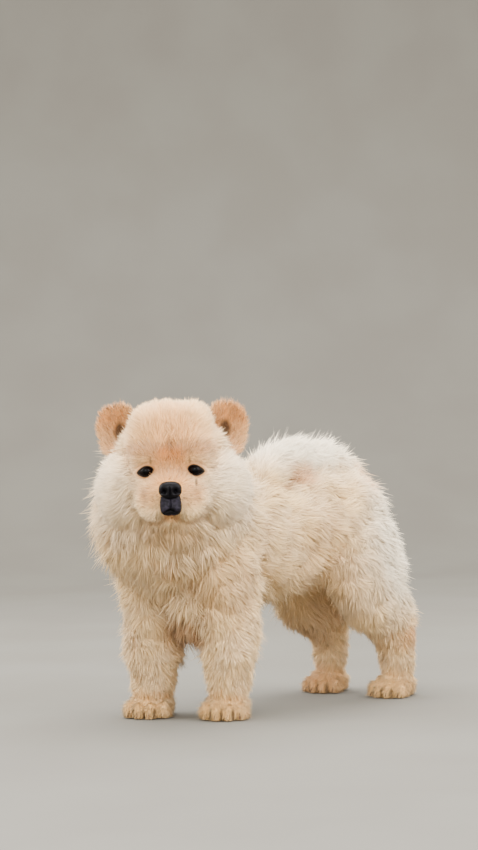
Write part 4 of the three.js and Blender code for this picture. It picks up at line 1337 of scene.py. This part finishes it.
def coat_paint(name, kind):
    """The coat's material: cream varied by noise, then each marking over it, some of them
    painted shade, then painted shade under the muzzle's sides and between the toes. Hair
    is also darker at its root, lighter at its tip, and each tuft has its own tone. Lids are
    bare and brown, and nearly black along their inner edge."""
    paint = Paint(name)
    colour = paint.mix(paint.scaled(paint.noise(0.03), 0.35, 0.65), CREAM, linear(240, 204, 156))
    colour = paint.mix(paint.times(paint.scaled(paint.noise(0.11), 0.5, 0.75), 0.25), colour, SAND)
    for where, middle, half, soft, shade, strength in MARKINGS:
        space = {"head": paint.face, "left": paint.head, "body": paint.body}[where]
        factor = paint.times(paint.patch(space, middle, half, soft), strength)
        colour = paint.mix(factor, colour, shade)
    low_front = paint.patch(paint.face, *MUZZLE_FRONT)
    factor = paint.times(low_front, paint.rim(paint.face, *MUZZLE_RIM))
    colour = paint.mix(paint.times(factor, 0.5), colour, TAWNY)
    # painted shade: dark lines in the gaps between the toes of each paw
    for (x, y), yaw, scale in PAWS.values():
        toes = paint.maths("ABSOLUTE", paint.seen_from((x, y, 0), yaw))
        for side in (0.0, 0.49 * PAW_WIDTH / 2):
            gap = paint.patch(toes, (side * scale, 29 * scale, 6), (1.6, 9, 8), 0.5)
            colour = paint.mix(paint.times(gap, 0.8), colour, DARK_SHADE_AND_STAIN)
    if kind == "hair":
        along, tuft_tone = paint.attribute("along"), paint.attribute("tone")
        root_dark = paint.mix(0.22, colour, SAND)
        colour = paint.mix(paint.scaled(along, 0.0, 0.75), root_dark, colour)
        tip_light = paint.mix(0.1, colour, PALE)
        colour = paint.mix(paint.scaled(along, 0.55, 1.0), colour, tip_light)
        shifted = paint.node("ShaderNodeHueSaturation")
        paint.link(colour, shifted.inputs["Color"])
        paint.link(tuft_tone, shifted.inputs["Value"])
        colour = shifted.outputs["Color"]
    elif kind == "lid":
        colour = paint.mix(paint.scaled(paint.attribute("edge"), 0.3, 0.9, 0.75, 0.0), colour, TAWNY)
        edge = paint.scaled(paint.attribute("edge"), 0.10, 0.30, 1.0, 0.0)
        colour = paint.mix(edge, colour, BLACK_EDGE)
    else:
        bump = paint.node("ShaderNodeBump")
        bump.inputs["Strength"].default_value = 0.5
        bump.inputs["Distance"].default_value = 0.0008
        paint.link(paint.noise(0.9, 4, (1.0, 1.0, 0.35)), bump.inputs["Height"])
        paint.link(bump.outputs["Normal"], paint.shader.inputs["Normal"])
    paint.link(colour, paint.shader.inputs["Base Color"])
    paint.shader.inputs["Roughness"].default_value = 0.8
    paint.shader.inputs["Specular IOR Level"].default_value = 0.12
    paint.shader.inputs["Sheen Weight"].default_value = 0.24
    paint.shader.inputs["Sheen Roughness"].default_value = 0.5
    paint.shader.inputs["Sheen Tint"].default_value = linear(255, 236, 208)
    return paint.material


skin.data.materials.clear()
skin.data.materials.append(coat_paint("short_fur", "skin"))
lids.data.materials.append(coat_paint("lid_skin", "lid"))
hair_material = coat_paint("coat_hair", "hair")
for made in coat_pieces:
    made.data.materials.append(hair_material)

# %% [markdown]
# ## Dark, smooth parts
# Nose leather is finely pebbled and a little moist. The lips are smoother and bluer. The
# eyes are deep brown with a black pupil under a clear, polished window. The claws are
# dark horn, streaked along their length.

# %% Leather, lips, eyes and claws


def leather_paint(name, dark, light, scale, depth, roughness):
    """Two close tones mixed by noise, black in the mouth's slit and corner as painted shade
    over the mouth's own dark colour, with cells pressed in as the leather's pebbles."""
    paint = Paint(name)
    colour = paint.mix(paint.scaled(paint.noise(0.35), 0.35, 0.7), dark, light)
    # painted shade: the slit of the mouth and its corner are painted black
    mouth = paint.patch(paint.face, (0, 78, -52.5), (4.5, 12, 3.2), 0.35)
    colour = paint.mix(mouth, colour, MOUTH_SHADE_BLACK)
    corner = paint.patch(paint.face, (6, 78, -55), (6.5, 12, 1.3), 0.5)
    colour = paint.mix(corner, colour, MOUTH_SHADE_BLACK)
    paint.link(colour, paint.shader.inputs["Base Color"])
    cells = paint.node("ShaderNodeTexVoronoi")
    cells.inputs["Scale"].default_value = scale
    paint.link(paint.place, cells.inputs["Vector"])
    bump = paint.node("ShaderNodeBump")
    bump.inputs["Strength"].default_value = 0.5
    bump.inputs["Distance"].default_value = depth
    paint.link(cells.outputs["Distance"], bump.inputs["Height"])
    paint.link(bump.outputs["Normal"], paint.shader.inputs["Normal"])
    paint.shader.inputs["Roughness"].default_value = roughness
    paint.shader.inputs["Specular IOR Level"].default_value = 0.1
    return paint.material


nose.data.materials.append(
    leather_paint("nose_leather", linear(4, 3, 5), linear(10, 8, 12), 900, 0.0002, 0.4)
)
lips.data.materials.append(
    leather_paint("lip_leather", linear(14, 12, 18), linear(38, 34, 44), 600, 0.0002, 0.5)
)
claws.data.materials.append(
    leather_paint("claw_horn", linear(70, 50, 38), linear(124, 92, 66), 200, 0.0001, 0.4)
)


def eye_paint(sign):
    """Brown iris round a black pupil, by the distance from the line of sight."""
    paint = Paint("eye_" + ("left" if sign > 0 else "right"))
    off = paint.maths("SUBTRACT", paint.head, (sign * EYE_SPACING / 2, 0.0, EYE_UP))
    radius = paint.maths("LENGTH", paint.maths("MULTIPLY", off, (1, 0, 1)), result=1)
    colour = paint.mix(paint.scaled(radius, 3.2, 3.8), linear(2, 1, 1), linear(12, 5, 4))
    colour = paint.mix(paint.scaled(radius, 5.8, 6.8), colour, linear(5, 2, 2))
    paint.link(colour, paint.shader.inputs["Base Color"])
    paint.shader.inputs["Roughness"].default_value = 0.04
    paint.shader.inputs["Specular IOR Level"].default_value = 0.07
    return paint.material


eyes["left"].data.materials.append(eye_paint(1))
eyes["right"].data.materials.append(eye_paint(-1))

# %% [markdown]
# ## Floor and light
# The floor is a plain pale sheet that bends up far behind the animal, so no line crosses
# the picture. The light is large and soft, from above and from the camera's side, like an
# overcast sky.

# %% Floor, backdrop and lights
BACK = np.array([AWAY[0], AWAY[1], 0.0])
ASIDE = np.array([AWAY[1], -AWAY[0], 0.0])


def sweep():
    """A sheet: flat to 2.2 m behind the middle, then a quarter circle of 1.5 m radius and
    a wall, carried 9 m across."""
    flat = np.stack([np.linspace(-4, 2.2, 12), np.zeros(12)], 1)
    a = np.linspace(0, math.pi / 2, 20)[1:]
    curve = np.stack([2.2 + 1.5 * np.sin(a), 1.5 - 1.5 * np.cos(a)], 1)
    wall = np.array([[3.7, 4.5]])
    profile = np.vstack([flat, curve, wall])
    u = np.linspace(-4.5, 4.5, 8)
    grid = (
        profile[:, None, :1] * BACK + u[None, :, None] * ASIDE
        + profile[:, None, 1:] * np.array([0, 0, 1.0])
    )
    rows, columns = grid.shape[:2]
    i, j = np.meshgrid(np.arange(rows - 1), np.arange(columns - 1), indexing="ij")
    a0 = (i * columns + j).ravel()
    quads = np.stack([a0, a0 + 1, a0 + columns + 1, a0 + columns], 1)
    return grid.reshape(-1, 3), quads[:, ::-1]


points, quads = sweep()
floor = piece("floor", mesh_of("floor", points, quads))
floor_paint = Paint("pale_floor")
floor_paint.link(
    floor_paint.mix(
        floor_paint.scaled(floor_paint.noise(0.004), 0.3, 0.7),
        linear(104, 100, 91), linear(108, 105, 96),
    ),
    floor_paint.shader.inputs["Base Color"],
)
floor_paint.shader.inputs["Roughness"].default_value = 0.8
floor.data.materials.append(floor_paint.material)

world = bpy.data.worlds.new("studio")
world.use_nodes = True
world.node_tree.nodes["Background"].inputs["Color"].default_value = (1.0, 0.97, 0.93, 1.0)
world.node_tree.nodes["Background"].inputs["Strength"].default_value = 2.75
bpy.context.scene.world = world


def softbox(name, at, size, power):
    """A square area light that faces a point in the animal's chest."""
    data = bpy.data.lights.new(name, "AREA")
    data.size, data.energy = size, power
    made = bpy.data.objects.new(name, data)
    bpy.context.scene.collection.objects.link(made)
    made.location = Vector(at)
    made.rotation_mode = "QUATERNION"
    made.rotation_quaternion = (Vector((0, 0, 0.18)) - Vector(at)).to_track_quat("-Z", "Y")


softbox("light_above", (-0.3, 0.3, 2.4), 2.2, 140)
softbox("light_flank", (2.3, 0.9, 1.6), 1.8, 88)
softbox("light_side", (-1.8, -1.6, 1.6), 1.6, 80)
softbox("light_front", (1.15, -1.35, 0.95), 0.4, 16)
